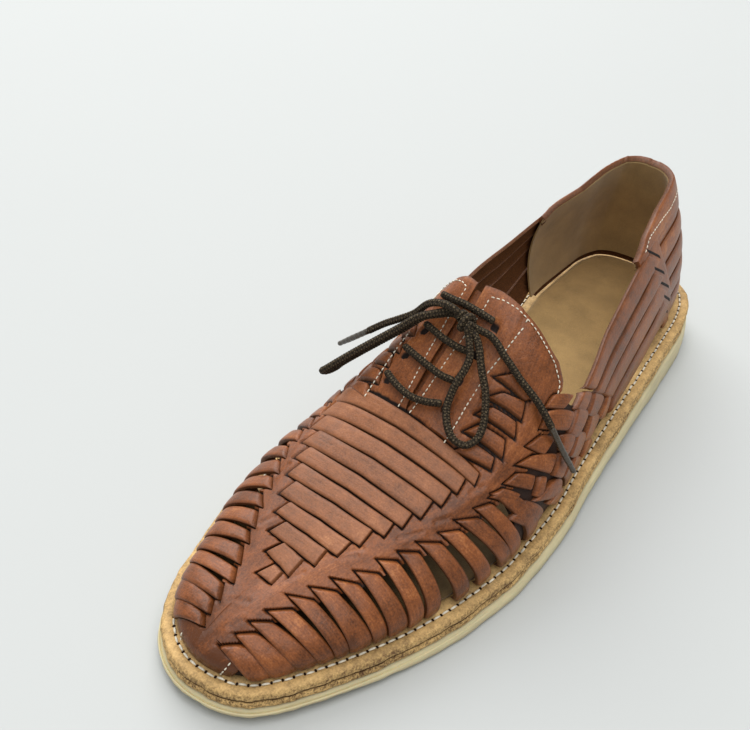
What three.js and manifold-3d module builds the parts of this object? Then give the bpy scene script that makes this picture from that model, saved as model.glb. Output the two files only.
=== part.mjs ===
// A left huarache shoe: woven leather upper with laced flaps on a flat stitched-down sole.
// Millimetres, +Z up, toe towards +X, outer side of the foot towards +Y.
import * as THREE from 'three';
import { mergeVertices } from 'three/addons/utils/BufferGeometryUtils.js';
import Module from 'manifold-3d';

const wasm = await Module();
wasm.setup();

// Driving dimensions
const LENGTH = 302;           // sole rim, heel to toe
const GAP = 0.3;              // clearance between pieces that meet
const WALL = 1.9;             // leather of the upper
const RAISE = 1.0;            // height of a woven strip over the leather under it
const SINK = 0.8;             // how far a strip is bedded in the wall
const WELT = 3.2;             // upper leather layer of the sole
const MIDSOLE = 3.2;          // lower leather layer of the sole
const INSOLE = 2.0;
const LACE = 2.8;             // lace diameter
const AGLET = 2.3;            // diameter of the stiff tip of a lace
const EYELET = 3.4;           // eyelet diameter

// Sole rim seen from above: distance from the heel, then the inner and outer edge
const RIM = [
  { x: 0, medial: -3, lateral: -3 },
  { x: 3, medial: -19.5, lateral: 14.5 },
  { x: 12, medial: -29.5, lateral: 27.5 },
  { x: 30, medial: -33.9, lateral: 35.0 },
  { x: 60, medial: -32.8, lateral: 39.6 },
  { x: 100, medial: -27.2, lateral: 44.8 },
  { x: 140, medial: -29.0, lateral: 49.8 },
  { x: 170, medial: -38.0, lateral: 54.2 },
  { x: 195, medial: -46.0, lateral: 54.8 },
  { x: 220, medial: -48.0, lateral: 51.6 },
  { x: 240, medial: -45.2, lateral: 46.5 },
  { x: 262, medial: -38.9, lateral: 38.0 },
  { x: 282, medial: -31.4, lateral: 27.9 },
  { x: 295, medial: -21.4, lateral: 18.4 },
  { x: 302, medial: -2.8, lateral: -2.8 },
];

// Sole heights: top of the welt, and how far the underside is lifted at the waist and toe
const SOLE = [
  { x: 0, top: 20.0, lift: 0 },
  { x: 62, top: 19.4, lift: 0 },
  { x: 84, top: 18.8, lift: 2.6 },
  { x: 108, top: 18.0, lift: 3.8 },
  { x: 150, top: 15.4, lift: 1.7 },
  { x: 182, top: 13.4, lift: 0 },
  { x: 205, top: 12.5, lift: 0 },
  { x: 232, top: 12.1, lift: 0 },
  { x: 268, top: 12.3, lift: 2.2 },
  { x: 302, top: 13.4, lift: 3.2 },
];

// Sections of the last: ridge place and height, roundness of each side (larger leans in sooner),
// swell of each side and the height it reaches, and how far the ridge leans forward
const SECTION = ['x', 'y', 'z', 'inner', 'outer', 'rise', 'swellIn', 'swellOut', 'reach', 'lean', 'inset'];
const LAST = [
  [0, -3, 118, 2.2, 2.2, 1, 0.8, 0.8, 40, 22, 7.2],
  [30, -3, 117, 2.2, 2.6, 1, 1.5, 0, 50, 18, 7.2],
  [60, -3, 116, 1.9, 2.4, 1, 5, 0.5, 60, 13, 6.6],
  [110, -3, 109, 1.1, 2.0, 1, 9, 1, 70, 4, 5.8],
  [135, -2.5, 99, 0.95, 1.3, 0.97, 7, 1.5, 66, 1, 5.6],
  [158, -2.5, 84, 0.86, 0.88, 0.92, 4.5, 2, 50, 0, 5.6],
  [175, -2.5, 68, 0.84, 0.84, 0.9, 3.2, 2.4, 38, 0, 5.6],
  [197, -2, 50, 0.84, 0.84, 0.88, 2.5, 2.5, 26, 0, 5.6],
  [215, -1.5, 43, 0.86, 0.86, 0.88, 2.5, 2.5, 23, 0, 5.6],
  [240, -1, 36, 0.88, 0.88, 0.88, 2.2, 2.2, 20, 0, 5.6],
  [266, -1, 30, 0.9, 0.9, 0.88, 2, 2, 18, 0, 5.6],
  [286, -1.8, 26, 0.9, 0.9, 0.88, 1.6, 1.6, 16, 0, 5.6],
  [296, -2.4, 22.5, 0.9, 0.9, 0.9, 1.2, 1.2, 14, 0, 5.6],
  [302, -2.8, 17, 0.9, 0.9, 0.9, 0.8, 0.8, 12, 0, 5.6],
].map((values) => Object.fromEntries(SECTION.map((key, i) => [key, values[i]])));

// A station is an angle that runs from 0 at the heel to PI at the toe, so that both ends close roundly
const station = (x) => Math.acos(THREE.MathUtils.clamp(1 - (2 * x) / LENGTH, -1, 1));
const alongAt = (a) => (LENGTH * (1 - Math.cos(a))) / 2;

// Smooth curve through one column of a table, by station, with no overshoot between rows
function column(rows, key) {
  const at = rows.map((r) => station(r.x));
  const value = rows.map((r) => r[key]);
  const last = rows.length - 1;
  const rise = [];
  for (let i = 0; i < last; i++) rise.push((value[i + 1] - value[i]) / (at[i + 1] - at[i]));
  const slope = value.map((_, i) => {
    if (i === 0) return rise[0];
    if (i === last) return rise[last - 1];
    const [p, q] = [rise[i - 1], rise[i]];
    return p * q <= 0 ? 0 : (2 * p * q) / (p + q);
  });
  return (a) => {
    let i = 0;
    while (i < last - 1 && a > at[i + 1]) i++;
    const h = at[i + 1] - at[i];
    const t = THREE.MathUtils.clamp((a - at[i]) / h, 0, 1);
    const s = 1 - t;
    return value[i] * (1 + 2 * t) * s * s + value[i + 1] * t * t * (1 + 2 * s)
      + h * t * s * (slope[i] * s - slope[i + 1] * t);
  };
}

const rimMedial = column(RIM, 'medial');
const rimLateral = column(RIM, 'lateral');
const weltTop = column(SOLE, 'top');
const underside = column(SOLE, 'lift');
const last = Object.fromEntries(SECTION.slice(1).map((key) => [key, column(LAST, key)]));

// Point of the rim on one side (+1 outer, -1 inner) and its outward direction
function rimPoint(a, side, inset) {
  const edge = side > 0 ? rimLateral : rimMedial;
  const before = Math.max(a - 0.01, 0);
  const after = Math.min(a + 0.01, Math.PI);
  const run = new THREE.Vector2(alongAt(after) - alongAt(before), edge(after) - edge(before)).normalize();
  const out = new THREE.Vector2(-run.y, run.x).multiplyScalar(side);
  const atEnd = Math.min(a, Math.PI - a) < 1e-6;
  if (atEnd) out.set(a < 1 ? -1 : 1, 0);
  return { x: alongAt(a) - inset * out.x, y: edge(a) - inset * out.y, out };
}

// Point of the last. u runs from -1 at the inner edge over 0 at the ridge to 1 at the outer edge,
// and depth is how far under the outer face of the upper it lies
function lastPoint(a, u, depth = 0) {
  const side = u >= 0 ? 1 : -1;
  const inset = last.inset(a) + depth;
  const foot = rimPoint(a, side, inset);
  const footZ = weltTop(a) + GAP;
  const ridgeX = inset + (LENGTH - 2 * inset) * (1 - Math.cos(a)) / 2 + last.lean(a);
  const turn = (1 - Math.abs(u)) * Math.PI / 2;
  const inwards = 1 - Math.cos(turn) ** (side > 0 ? last.outer(a) : last.inner(a));
  const z = footZ + (last.z(a) - depth - footZ) * Math.sin(turn) ** last.rise(a);
  const climb = THREE.MathUtils.clamp((z - footZ) / last.reach(a), 0, 1);
  const swell = (side > 0 ? last.swellOut(a) : last.swellIn(a)) * Math.sin(Math.PI * climb);
  return new THREE.Vector3(
    foot.x + (ridgeX - foot.x) * inwards + foot.out.x * swell,
    foot.y + (last.y(a) - foot.y) * inwards + foot.out.y * swell,
    z,
  );
}

// Closed mesh from points and faces, with every corner shared
function solid(points, faces) {
  const geometry = new THREE.BufferGeometry();
  const corners = points.flatMap((p) => [p.x, p.y, p.z]);
  geometry.setAttribute('position', new THREE.Float32BufferAttribute(corners, 3));
  geometry.setIndex(faces.flat());
  return geometry;
}

function toManifold(geometry) {
  const bare = geometry.clone();
  bare.deleteAttribute('normal');
  bare.deleteAttribute('uv');
  const merged = mergeVertices(bare, 1e-4);
  const index = Array.from(merged.index.array);
  const clean = [];
  for (let i = 0; i < index.length; i += 3) {
    const [p, q, r] = index.slice(i, i + 3);
    if (p !== q && q !== r && r !== p) clean.push(p, q, r);
  }
  return new wasm.Manifold(new wasm.Mesh({
    numProp: 3,
    vertProperties: new Float32Array(merged.attributes.position.array),
    triVerts: new Uint32Array(clean),
  }));
}

function toGeometry(manifold) {
  const mesh = manifold.getMesh();
  const geometry = new THREE.BufferGeometry();
  geometry.setAttribute('position', new THREE.BufferAttribute(new Float32Array(mesh.vertProperties), 3));
  geometry.setIndex(new THREE.BufferAttribute(new Uint32Array(mesh.triVerts), 1));
  return geometry;
}

// Sole layers share these corner numbers: k runs from the heel along the outer edge to the toe and back
const STATIONS = 44;
const ROUND = 2 * STATIONS;

// One layer of the sole: a stack of rings that follow the rim, closed above and below
function soleLayer(rings) {
  const points = [];
  const faces = [];
  for (const ring of rings) {
    for (let k = 0; k < ROUND; k++) {
      const outer = k <= STATIONS;
      const a = (Math.PI * (outer ? k : ROUND - k)) / STATIONS;
      const p = rimPoint(a, outer ? 1 : -1, ring.inset(a));
      points.push(new THREE.Vector3(p.x, p.y, ring.z(a)));
    }
  }
  for (let r = 0; r < rings.length - 1; r++) {
    for (let k = 0; k < ROUND; k++) {
      const p = r * ROUND + k;
      const q = r * ROUND + ((k + 1) % ROUND);
      faces.push([p, p + ROUND, q], [q, p + ROUND, q + ROUND]);
    }
  }
  const top = (rings.length - 1) * ROUND;
  for (let i = 0; i < STATIONS; i++) {
    const [l0, l1, m0, m1] = [i, i + 1, (ROUND - i) % ROUND, ROUND - i - 1];
    const low = [[l0, l1, m0], [l1, m1, m0]].filter((f) => new Set(f).size === 3);
    for (const f of low) {
      faces.push(f);
      faces.push([f[0] + top, f[2] + top, f[1] + top]);
    }
  }
  return solid(points, faces);
}

// The last as a closed solid, a given depth under the upper's outer face. drop lowers its base
function lastSolid(depth, drop, stations = 26, steps = 7) {
  const points = [];
  const faces = [];
  const row = 2 * steps + 3;
  for (let i = 0; i <= stations; i++) {
    const a = (Math.PI * i) / stations;
    const section = [];
    for (let j = -steps; j <= steps; j++) section.push(lastPoint(a, j / steps, depth));
    const down = new THREE.Vector3(0, 0, -drop);
    points.push(section[0].clone().add(down), ...section, section[2 * steps].clone().add(down));
  }
  for (let i = 0; i < stations; i++) {
    for (let j = 0; j < row; j++) {
      const [p, q] = [i * row + j, i * row + ((j + 1) % row)];
      faces.push([p, p + row, q], [p + row, q + row, q]);
    }
  }
  return toManifold(solid(points, faces));
}

// A block that follows the last between two depths. Its corners are [x, u] on the table's own
// coordinates, in order round the block, and it has the given number of steps each way
function block(corners, along, across, high, low) {
  const [c00, c10, c11, c01] = corners.map(([x, u]) => new THREE.Vector2(x, u));
  const points = [];
  for (const depth of [high, low]) {
    for (let i = 0; i <= along; i++) {
      const from = c00.clone().lerp(c10, i / along);
      const to = c01.clone().lerp(c11, i / along);
      for (let j = 0; j <= across; j++) {
        const p = from.clone().lerp(to, j / across);
        points.push(lastPoint(station(p.x), p.y, depth));
      }
    }
  }
  const row = across + 1;
  const layer = (along + 1) * row;
  const faces = [];
  const quad = (p, q, r, s) => faces.push([p, q, r], [p, r, s]);
  for (let i = 0; i < along; i++) {
    for (let j = 0; j < across; j++) {
      const p = i * row + j;
      quad(p, p + row, p + row + 1, p + 1);
      quad(p + layer, p + layer + 1, p + layer + row + 1, p + layer + row);
    }
    const near = i * row;
    const far = near + across;
    quad(near, near + layer, near + layer + row, near + row);
    quad(far, far + row, far + layer + row, far + layer);
  }
  for (let j = 0; j < across; j++) {
    const end = along * row + j;
    quad(j, j + 1, j + 1 + layer, j + layer);
    quad(end, end + layer, end + layer + 1, end + 1);
  }
  if (volume(points, faces) < 0) faces.forEach((f) => f.reverse());
  return toManifold(solid(points, faces));
}

function volume(points, faces) {
  const cross = new THREE.Vector3();
  const wedge = ([p, q, r]) => points[p].dot(cross.crossVectors(points[q], points[r])) / 6;
  return faces.reduce((sum, face) => sum + wedge(face), 0);
}

const strip = (corners, along, across = 1) => block(corners, along, across, -RAISE, SINK);
const cutter = (corners, along = 1) => block(corners, along, 1, -RAISE - 2, WALL + 2.5);

// Strips that cross the middle of the vamp, toe to throat: middle of the strip and its half reach
const VAMP_STRIP_WIDTH = 5.9;
const VAMP_STRIPS = [
  { x: 269, reach: 0.045 },
  { x: 261.5, reach: 0.09 },
  { x: 254, reach: 0.16 },
  { x: 247.3, reach: 0.21 },
  { x: 239, reach: 0.26 },
  { x: 232, reach: 0.30 },
  { x: 224.8, reach: 0.34 },
  { x: 217.5, reach: 0.37 },
  { x: 209.5, reach: 0.41 },
  { x: 202, reach: 0.43 },
  { x: 194.5, reach: 0.45 },
];

// Side strips, in pairs from the toe back: middle of the pair at the top and at the welt, and the
// height at which its slots lie
const SIDE_STRIP_WIDTH = 5.4;
const SIDE_PITCH = 7.1;
const SIDE_PAIRS = [
  { top: 290.4, foot: 287, slot: 0.21 },
  { top: 279.5, foot: 274, slot: 0.21 },
  { top: 265.5, foot: 261, slot: 0.23 },
  { top: 251.2, foot: 248.5, slot: 0.32 },
  { top: 236.2, foot: 235.5, slot: 0.40 },
  { top: 221.3, foot: 222, slot: 0.47 },
  { top: 205.8, foot: 208.5, slot: 0.52 },
];
const FIRST_OPEN_PAIR = 2;

// Tabs between the lace flap and the vamp band: x at the flap and at the band
const TABS = [
  { flap: 194, band: 190 },
  { flap: 188, band: 185 },
  { flap: 182, band: 178.5 },
  { flap: 177, band: 173 },
  { flap: 171, band: 169.5 },
];

// Heel straps from the stay to the plait: place and height at each end
const HEEL_STRAPS = [
  { stay: 58, stayU: 0.695, plait: 140, plaitU: 0.745 },
  { stay: 55, stayU: 0.765, plait: 130, plaitU: 0.835 },
  { stay: 52, stayU: 0.83, plait: 119, plaitU: 0.905 },
  { stay: 46, stayU: 0.89, plait: 100, plaitU: 0.96 },
];
const STRAP_HALF_HEIGHT = 0.031;

// Bands round the back of the heel: their height, from the collar down
const HEEL_BANDS = [0.665, 0.735, 0.805, 0.875, 0.94];
const BAND_HALF_HEIGHT = 0.029;

// Plait at the waist: strips come down from the band slots and pass over and under the heel straps
const PLAIT_STRIPS = 3;
const PLAIT_ROWS = [0.68, 0.79, 0.9];

// Topline seen from the side: the upper is open above it, between the heel and the lace flaps
const TOPLINE = [
  { x: -20, z: 80.5 },
  { x: 22, z: 80.5 },
  { x: 45, z: 78 },
  { x: 66, z: 74 },
  { x: 76, z: 69.5 },
  { x: 96, z: 62 },
  { x: 114, z: 57.5 },
  { x: 132, z: 55 },
  { x: 147, z: 54.5 },
  { x: 154, z: 57 },
  { x: 157, z: 62 },
  { x: 155, z: 70 },
  { x: 154, z: 78 },
  { x: 158, z: 90 },
];
const SLIT = { from: 150, to: 195, half: 0.018 };
const FLAP = { back: 153, front: 196.5, backU: 0.56, frontU: 0.22 };
const EYELETS = [
  { x: 163.5, lateral: 0.14, medial: -0.156 },
  { x: 172, lateral: 0.12, medial: -0.164 },
  { x: 180.3, lateral: 0.11, medial: -0.176 },
  { x: 188.6, lateral: 0.12, medial: -0.184 },
];

// Lace: points along the middle of each length. Bars lie across the slit from eyelet to eyelet,
// and the loops and ends leave the knot
const BARS = {
  lace_bar_1: [[188.5, -15.5, 57.5], [191, -9, 57], [192, -2, 56.5], [191, 4, 57], [189.5, 8.5, 58]],
  lace_bar_2: [[180, -14.5, 65], [181.5, -8.5, 65], [182.5, -2, 64.5], [183, 4, 64], [182.5, 8, 64]],
  lace_bar_3: [[172.3, -11.5, 72.3], [173.7, -7.5, 72.7], [174.8, -2, 72.4], [174.8, 4, 71.9],
    [174.2, 8, 71.8]],
  lace_bar_4: [[163.5, -11.5, 80.8], [164, -7, 81.3], [164, -2, 81.7], [164, 5, 81.3], [164, 10, 80.7]],
};
const LENGTHS = {
  lace_loop_lateral: [
    [174.3, 8.2, 76], [176.5, 10.5, 72.5], [180, 11.2, 69], [183.5, 11, 66], [186.5, 11, 62],
    [190, 12, 58], [194, 16, 54], [195.5, 20, 52], [194.5, 24, 51.5], [191, 26, 53],
    [187, 25.5, 56], [183.5, 23.5, 60], [180, 20.5, 64.5], [177, 16, 70], [174, 12.5, 74.5],
  ],
  lace_loop_medial: [
    [171, -5, 80.8], [173, -8.5, 79.2], [175.4, -13, 76.8], [178.5, -19.5, 69.8], [182.5, -26, 63.2],
    [186.5, -32.5, 56.5], [190, -38.3, 50.2], [191.6, -42, 46], [191, -44.2, 43.4], [189, -43.8, 42.2],
    [187.6, -41.2, 44.4], [187, -38.3, 48.2], [183.6, -32.4, 54.6], [179.6, -25.9, 61.3],
    [175.6, -19.4, 67.9], [172.4, -13, 75], [170.2, -8.4, 77.2], [168.8, -5.5, 78.4],
  ],
  lace_end_lateral: [
    [169, 9.5, 78.5], [168.5, 12.5, 78], [168.5, 15.5, 76.5], [169.5, 19.5, 74], [170, 24, 71],
    [170.5, 28, 68.2], [170.3, 32, 65.3], [170, 36, 62], [170, 39.5, 58.5], [169.7, 42.3, 54.8],
  ],
  lace_end_medial: [
    [171.5, -4.5, 84.2], [171, -8.5, 82.8], [170.8, -12.8, 80], [171.4, -18, 73.4], [173.5, -23.5, 69],
    [174.5, -28.5, 65], [176.5, -34, 60],
  ],
};
const AGLETS = {
  aglet_lateral: [[169.6, 43, 53.7], [168.3, 48.2, 45.2], [164.6, 52.2, 35.5]],
  aglet_medial: [[176.7, -34.7, 59.3], [176.5, -41.5, 52.5], [176, -48.5, 45.5]],
};
const KNOT = { x: 170.2, y: 3.4, z: 79.8, radius: 2.8, turns: 2, pitch: 3.1 };

function vampStrips() {
  const half = VAMP_STRIP_WIDTH / 2;
  return VAMP_STRIPS.map(({ x, reach }) => {
    const [back, front] = [x - half, x + half];
    const corners = [[back, -reach], [back, reach], [front, reach + 0.02], [front, -reach - 0.02]];
    return strip(corners, Math.max(2, Math.round(reach * 14)));
  });
}

// The two strips of each pair as one raised block, closing in towards the welt
function sideStrips(side) {
  const half = (SIDE_PITCH + SIDE_STRIP_WIDTH) / 2;
  return SIDE_PAIRS.map(({ top, foot, slot }) => strip([
    [top + half, side * slot],
    [foot + 5.2, side * 0.985],
    [foot - 5.2, side * 0.985],
    [top - half, side * (slot + 0.12)],
  ], 2));
}

// Openings between the pairs, wide at the welt, and inside each pair, wide at the slots
function sideGaps(side) {
  return SIDE_PAIRS.slice(FIRST_OPEN_PAIR).flatMap(({ top, foot, slot }) => {
    const high = slot + 0.12;
    const inside = [[top + 0.9, high], [foot + 0.2, 0.8], [foot - 0.2, 0.8], [top - 0.9, high]];
    const before = [top + SIDE_PITCH, foot + 6.4];
    const between = [[before[0] + 0.5, high], [before[1] + 1.0, 0.94], [before[1] - 1.0, 0.94],
      [before[0] - 0.5, high]];
    return [inside, between].map((corners) => cutter(corners.map(([x, u]) => [x, side * u])));
  });
}

function tabs(side) {
  return TABS.map(({ flap, band }) => strip([
    [flap + 2.6, side * 0.245], [band + 2.3, side * 0.475],
    [band - 2.3, side * 0.445], [flap - 2.4, side * 0.29],
  ], 1));
}

function heelStraps(side) {
  const h = STRAP_HALF_HEIGHT;
  return HEEL_STRAPS.map(({ stay, stayU, plait, plaitU }) => strip([
    [stay, side * (stayU - h)], [plait, side * (plaitU - h)],
    [plait, side * (plaitU + h)], [stay, side * (stayU + h)],
  ], 4));
}

function heelStrapGaps(side) {
  return HEEL_STRAPS.slice(1).map((lower, i) => {
    const upper = HEEL_STRAPS[i];
    const stayU = (upper.stayU + lower.stayU) / 2;
    const plaitU = (upper.plaitU + lower.plaitU) / 2;
    const from = lower.stay + 14;
    const to = lower.plait - 6;
    return cutter([
      [from, side * (stayU + 0.008)], [to, side * (plaitU - 0.002)], [to, side * (plaitU + 0.01)],
      [from, side * (stayU + 0.018)],
    ], 2);
  });
}

function heelBands(side) {
  const h = BAND_HALF_HEIGHT;
  const reach = 44;
  return HEEL_BANDS.map((u) => strip([
    [0, side * (u - h)], [reach, side * (u - h)], [reach, side * (u + h)], [0, side * (u + h)],
  ], 3));
}

// Collar round the heel and the upright stay that the straps pass through
function heelPiece(side) {
  const collar = [[0, side * 0.5], [64, side * 0.5], [66, side * 0.64], [0, side * 0.625]];
  const stay = [[66, side * 0.62], [52, side * 0.985], [40, side * 0.985], [46, side * 0.62]];
  return [strip(collar, 5), strip(stay, 3)];
}

// Cells of the plait: strips that dive under a strap leave the strap on top, and the other way round
function plait(side) {
  const cells = [];
  for (let i = 0; i < PLAIT_STRIPS; i++) {
    PLAIT_ROWS.forEach((u, j) => {
      const x = 162 + 9.5 * i - (u - 0.6) * 46;
      const over = (i + j) % 2 === 0;
      const [w, h] = over ? [3.4, 0.06] : [5.0, 0.042];
      const skew = 1.6;
      cells.push(strip([
        [x + w + skew, side * (u - h)], [x + w - skew, side * Math.min(u + h, 0.985)],
        [x - w - skew, side * Math.min(u + h, 0.985)], [x - w + skew, side * (u - h)],
      ], 1));
    });
  }
  return cells;
}

function flap(side) {
  const { back, front, backU, frontU } = FLAP;
  return block([[back, side * 0.012], [front, side * 0.012], [front, side * frontU], [back, side * backU]],
    4, 2, -RAISE, SINK);
}

// Square to the last at a point: a round pin for an eyelet
function pin(x, u, radius, depth, sides = 8) {
  const a = station(x);
  const at = lastPoint(a, u);
  const across = lastPoint(a, u + 0.02).sub(lastPoint(a, u - 0.02));
  const forward = lastPoint(station(x + 1), u).sub(lastPoint(station(x - 1), u));
  const up = forward.cross(across).normalize();
  const geometry = new THREE.CylinderGeometry(radius, radius, depth, sides);
  geometry.applyQuaternion(new THREE.Quaternion().setFromUnitVectors(new THREE.Vector3(0, 1, 0), up));
  geometry.translate(at.x, at.y, at.z);
  return toManifold(geometry);
}

// Everything above the topline, as a wide block cut from the side
function collarOpening() {
  const outline = new THREE.Shape(TOPLINE.map(({ x, z }) => new THREE.Vector2(x, z)));
  outline.lineTo(TOPLINE.at(-1).x, 150);
  outline.lineTo(TOPLINE[0].x, 150);
  const wide = 160;
  const geometry = new THREE.ExtrudeGeometry(outline, { depth: wide, bevelEnabled: false });
  geometry.rotateX(Math.PI / 2);
  geometry.translate(0, wide / 2, 0);
  return toManifold(geometry);
}

const SIDES = [1, -1];
const joined = (parts) => parts.reduce((sum, part) => sum.add(part));

function upper() {
  const raised = SIDES.flatMap((side) => [
    ...sideStrips(side), ...tabs(side), ...heelStraps(side), ...heelBands(side), ...heelPiece(side),
    ...plait(side), flap(side),
  ]);
  const holes = SIDES.flatMap((side) => [
    ...sideGaps(side), ...heelStrapGaps(side),
    ...EYELETS.map((eyelet) => pin(eyelet.x, side > 0 ? eyelet.lateral : eyelet.medial, EYELET / 2, 16)),
  ]);
  const slit = block([[SLIT.from, -SLIT.half], [SLIT.to, -SLIT.half * 0.6], [SLIT.to, SLIT.half * 0.6],
    [SLIT.from, SLIT.half]], 6, 2, -4, 6);
  const body = joined([lastSolid(0, 0), ...vampStrips(), ...raised]);
  const hollow = lastSolid(WALL, 8);
  const below = floorCut();
  const cut = body.subtract(joined([hollow, collarOpening(), slit, below, ...holes]));
  const shells = cut.decompose();
  return shells.reduce((best, shell) => (shell.volume() > best.volume() ? shell : best));
}

// Keeps strips off the welt: everything below the foot of the upper
function floorCut() {
  const ring = (z) => ({ inset: () => -12, z });
  return toManifold(soleLayer([ring((a) => weltTop(a) - 12), ring((a) => weltTop(a) + GAP)]));
}

// Sole layers
const weltBase = (a) => weltTop(a) - WELT;
const midsoleBase = (a) => weltBase(a) - GAP - MIDSOLE;
const outsoleTop = (a) => midsoleBase(a) - GAP;
const constant = (value) => () => value;

const outsole = soleLayer([
  { inset: constant(-0.9), z: underside },
  { inset: constant(-1.6), z: (a) => underside(a) + 1.4 },
  { inset: constant(-0.7), z: (a) => outsoleTop(a) - 1.6 },
  { inset: constant(-0.1), z: outsoleTop },
]);
const midsole = soleLayer([
  { inset: constant(0.4), z: midsoleBase },
  { inset: constant(0), z: (a) => midsoleBase(a) + MIDSOLE / 2 },
  { inset: constant(0.4), z: (a) => weltBase(a) - GAP },
]);
const welt = soleLayer([
  { inset: constant(0.3), z: weltBase },
  { inset: constant(0), z: (a) => weltBase(a) + WELT / 2 },
  { inset: constant(0.5), z: weltTop },
]);
const insoleInset = (a) => last.inset(a) + WALL + 0.8;
const insole = soleLayer([
  { inset: insoleInset, z: (a) => weltTop(a) + GAP },
  { inset: insoleInset, z: (a) => weltTop(a) + GAP + INSOLE },
]);

// A length of lace or a tip: a round section carried along a smooth curve through the points
function cord(points, diameter, steps) {
  const curve = new THREE.CatmullRomCurve3(points.map(([x, y, z]) => new THREE.Vector3(x, y, z)));
  const sides = 8;
  const section = new THREE.Shape(Array.from({ length: sides }, (_, i) => {
    const turn = (2 * Math.PI * i) / sides;
    return new THREE.Vector2(Math.cos(turn), Math.sin(turn)).multiplyScalar(diameter / 2);
  }));
  const geometry = new THREE.ExtrudeGeometry(section, { steps, extrudePath: curve, bevelEnabled: false });
  return toGeometry(toManifold(geometry));
}

// The knot: a length of lace wound round the bundle from side to side, square to the instep
function knotPoints() {
  const { x, y, z, radius, turns, pitch } = KNOT;
  const up = new THREE.Vector3(0.66, 0, 0.75).normalize();
  const across = new THREE.Vector3(0, 1, 0);
  const along = new THREE.Vector3().crossVectors(up, across);
  return Array.from({ length: 8 * turns + 1 }, (_, i) => {
    const turn = (Math.PI * i) / 4;
    return new THREE.Vector3(x, y, z)
      .addScaledVector(across, pitch * (turn / (2 * Math.PI) - turns / 2))
      .addScaledVector(up, radius * Math.cos(turn))
      .addScaledVector(along, radius * Math.sin(turn))
      .toArray();
  });
}

const FINISH = {
  rubber: new THREE.MeshStandardMaterial({ color: 0xe6dcbc, roughness: 0.7, metalness: 0 }),
  sole_leather: new THREE.MeshStandardMaterial({ color: 0xb98b57, roughness: 0.8, metalness: 0 }),
  welt_leather: new THREE.MeshStandardMaterial({ color: 0xc09a68, roughness: 0.75, metalness: 0 }),
  insole_leather: new THREE.MeshStandardMaterial({ color: 0xbb9567, roughness: 0.7, metalness: 0 }),
  upper_leather: new THREE.MeshStandardMaterial({ color: 0x8a4526, roughness: 0.45, metalness: 0 }),
  lace_cord: new THREE.MeshStandardMaterial({ color: 0x2e241c, roughness: 0.8, metalness: 0 }),
  aglet: new THREE.MeshStandardMaterial({ color: 0x2a211c, roughness: 0.35, metalness: 0 }),
};

function piece(name, geometry, finish) {
  const mesh = new THREE.Mesh(geometry, FINISH[finish]);
  mesh.name = name;
  return mesh;
}

const cords = (routes, diameter, finish) => Object.entries(routes)
  .map(([name, points]) => piece(name, cord(points, diameter, 3 * points.length), finish));

// The origin is on the floor under the middle of the sole
outsole.computeBoundingBox();
const middle = outsole.boundingBox.getCenter(new THREE.Vector3());

const group = new THREE.Group();
group.position.set(-middle.x, -middle.y, 0);
group.add(
  piece('outsole', outsole, 'rubber'),
  piece('midsole', midsole, 'sole_leather'),
  piece('welt', welt, 'welt_leather'),
  piece('insole', insole, 'insole_leather'),
  piece('upper', toGeometry(upper()), 'upper_leather'),
  ...cords(BARS, LACE, 'lace_cord'),
  piece('lace_knot', cord(knotPoints(), LACE, 36), 'lace_cord'),
  ...cords(LENGTHS, LACE, 'lace_cord'),
  ...cords(AGLETS, AGLET, 'aglet'),
);

export default group;
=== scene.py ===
"""A left huarache shoe: woven leather upper with laced flaps on a stitched leather and rubber sole.

Shapes are worked out in millimetres on the shoe's own last, heel at 0 and toe at 302, and put into
the frame in metres."""
import math

import bpy
import numpy as np
from mathutils import Matrix, Vector


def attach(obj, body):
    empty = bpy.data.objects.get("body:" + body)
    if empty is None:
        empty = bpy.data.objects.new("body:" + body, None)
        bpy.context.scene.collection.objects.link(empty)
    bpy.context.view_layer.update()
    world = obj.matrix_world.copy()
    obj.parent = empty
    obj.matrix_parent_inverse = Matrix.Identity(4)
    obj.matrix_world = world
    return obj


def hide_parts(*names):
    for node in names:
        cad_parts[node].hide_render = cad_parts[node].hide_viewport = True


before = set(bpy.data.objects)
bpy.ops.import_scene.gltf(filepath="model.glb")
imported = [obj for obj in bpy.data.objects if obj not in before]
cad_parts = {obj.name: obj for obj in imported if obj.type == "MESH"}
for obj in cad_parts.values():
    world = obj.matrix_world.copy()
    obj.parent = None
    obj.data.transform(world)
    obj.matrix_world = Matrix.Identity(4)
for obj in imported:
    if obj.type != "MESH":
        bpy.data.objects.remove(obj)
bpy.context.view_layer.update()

bl_info = {
    "name": "Huarache Shoe",
    "version": (1, 0, 0),
    "blender": (4, 5, 0),
    "location": "View3D > Sidebar > Huarache",
    "description": "Builds the leather, sole and laces of a huarache shoe over its packed model",
    "category": "Object",
}

LENGTH = 302.0
GAP = 0.3
WELT = 3.2
MIDSOLE = 3.2
INSOLE = 2.0
SOLE_POINTS = 440    # round each layer of the sole
LACE_STEP = 0.26     # between the rings of a lace
SLOT_DEPTH = 1.25    # of the band's leather under the strips
VAMP_GAP = 1.0       # between neighbouring strips of the vamp
VAMP_BOW = 0.019     # of a strip of the vamp towards the toe, for twice its length
BRAID_PITCH = 2.7    # turn of the lace's braid for each millimetre
BRAID_WAVES = 3      # of the braid round the lace
RUBBER_REACH = 1.6   # of the outsole past the rim
# Each piece of leather is moved on by a step over the grain, so that no two share their streaks
UV_STEP, UV_STEPS = 0.07, 97

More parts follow.
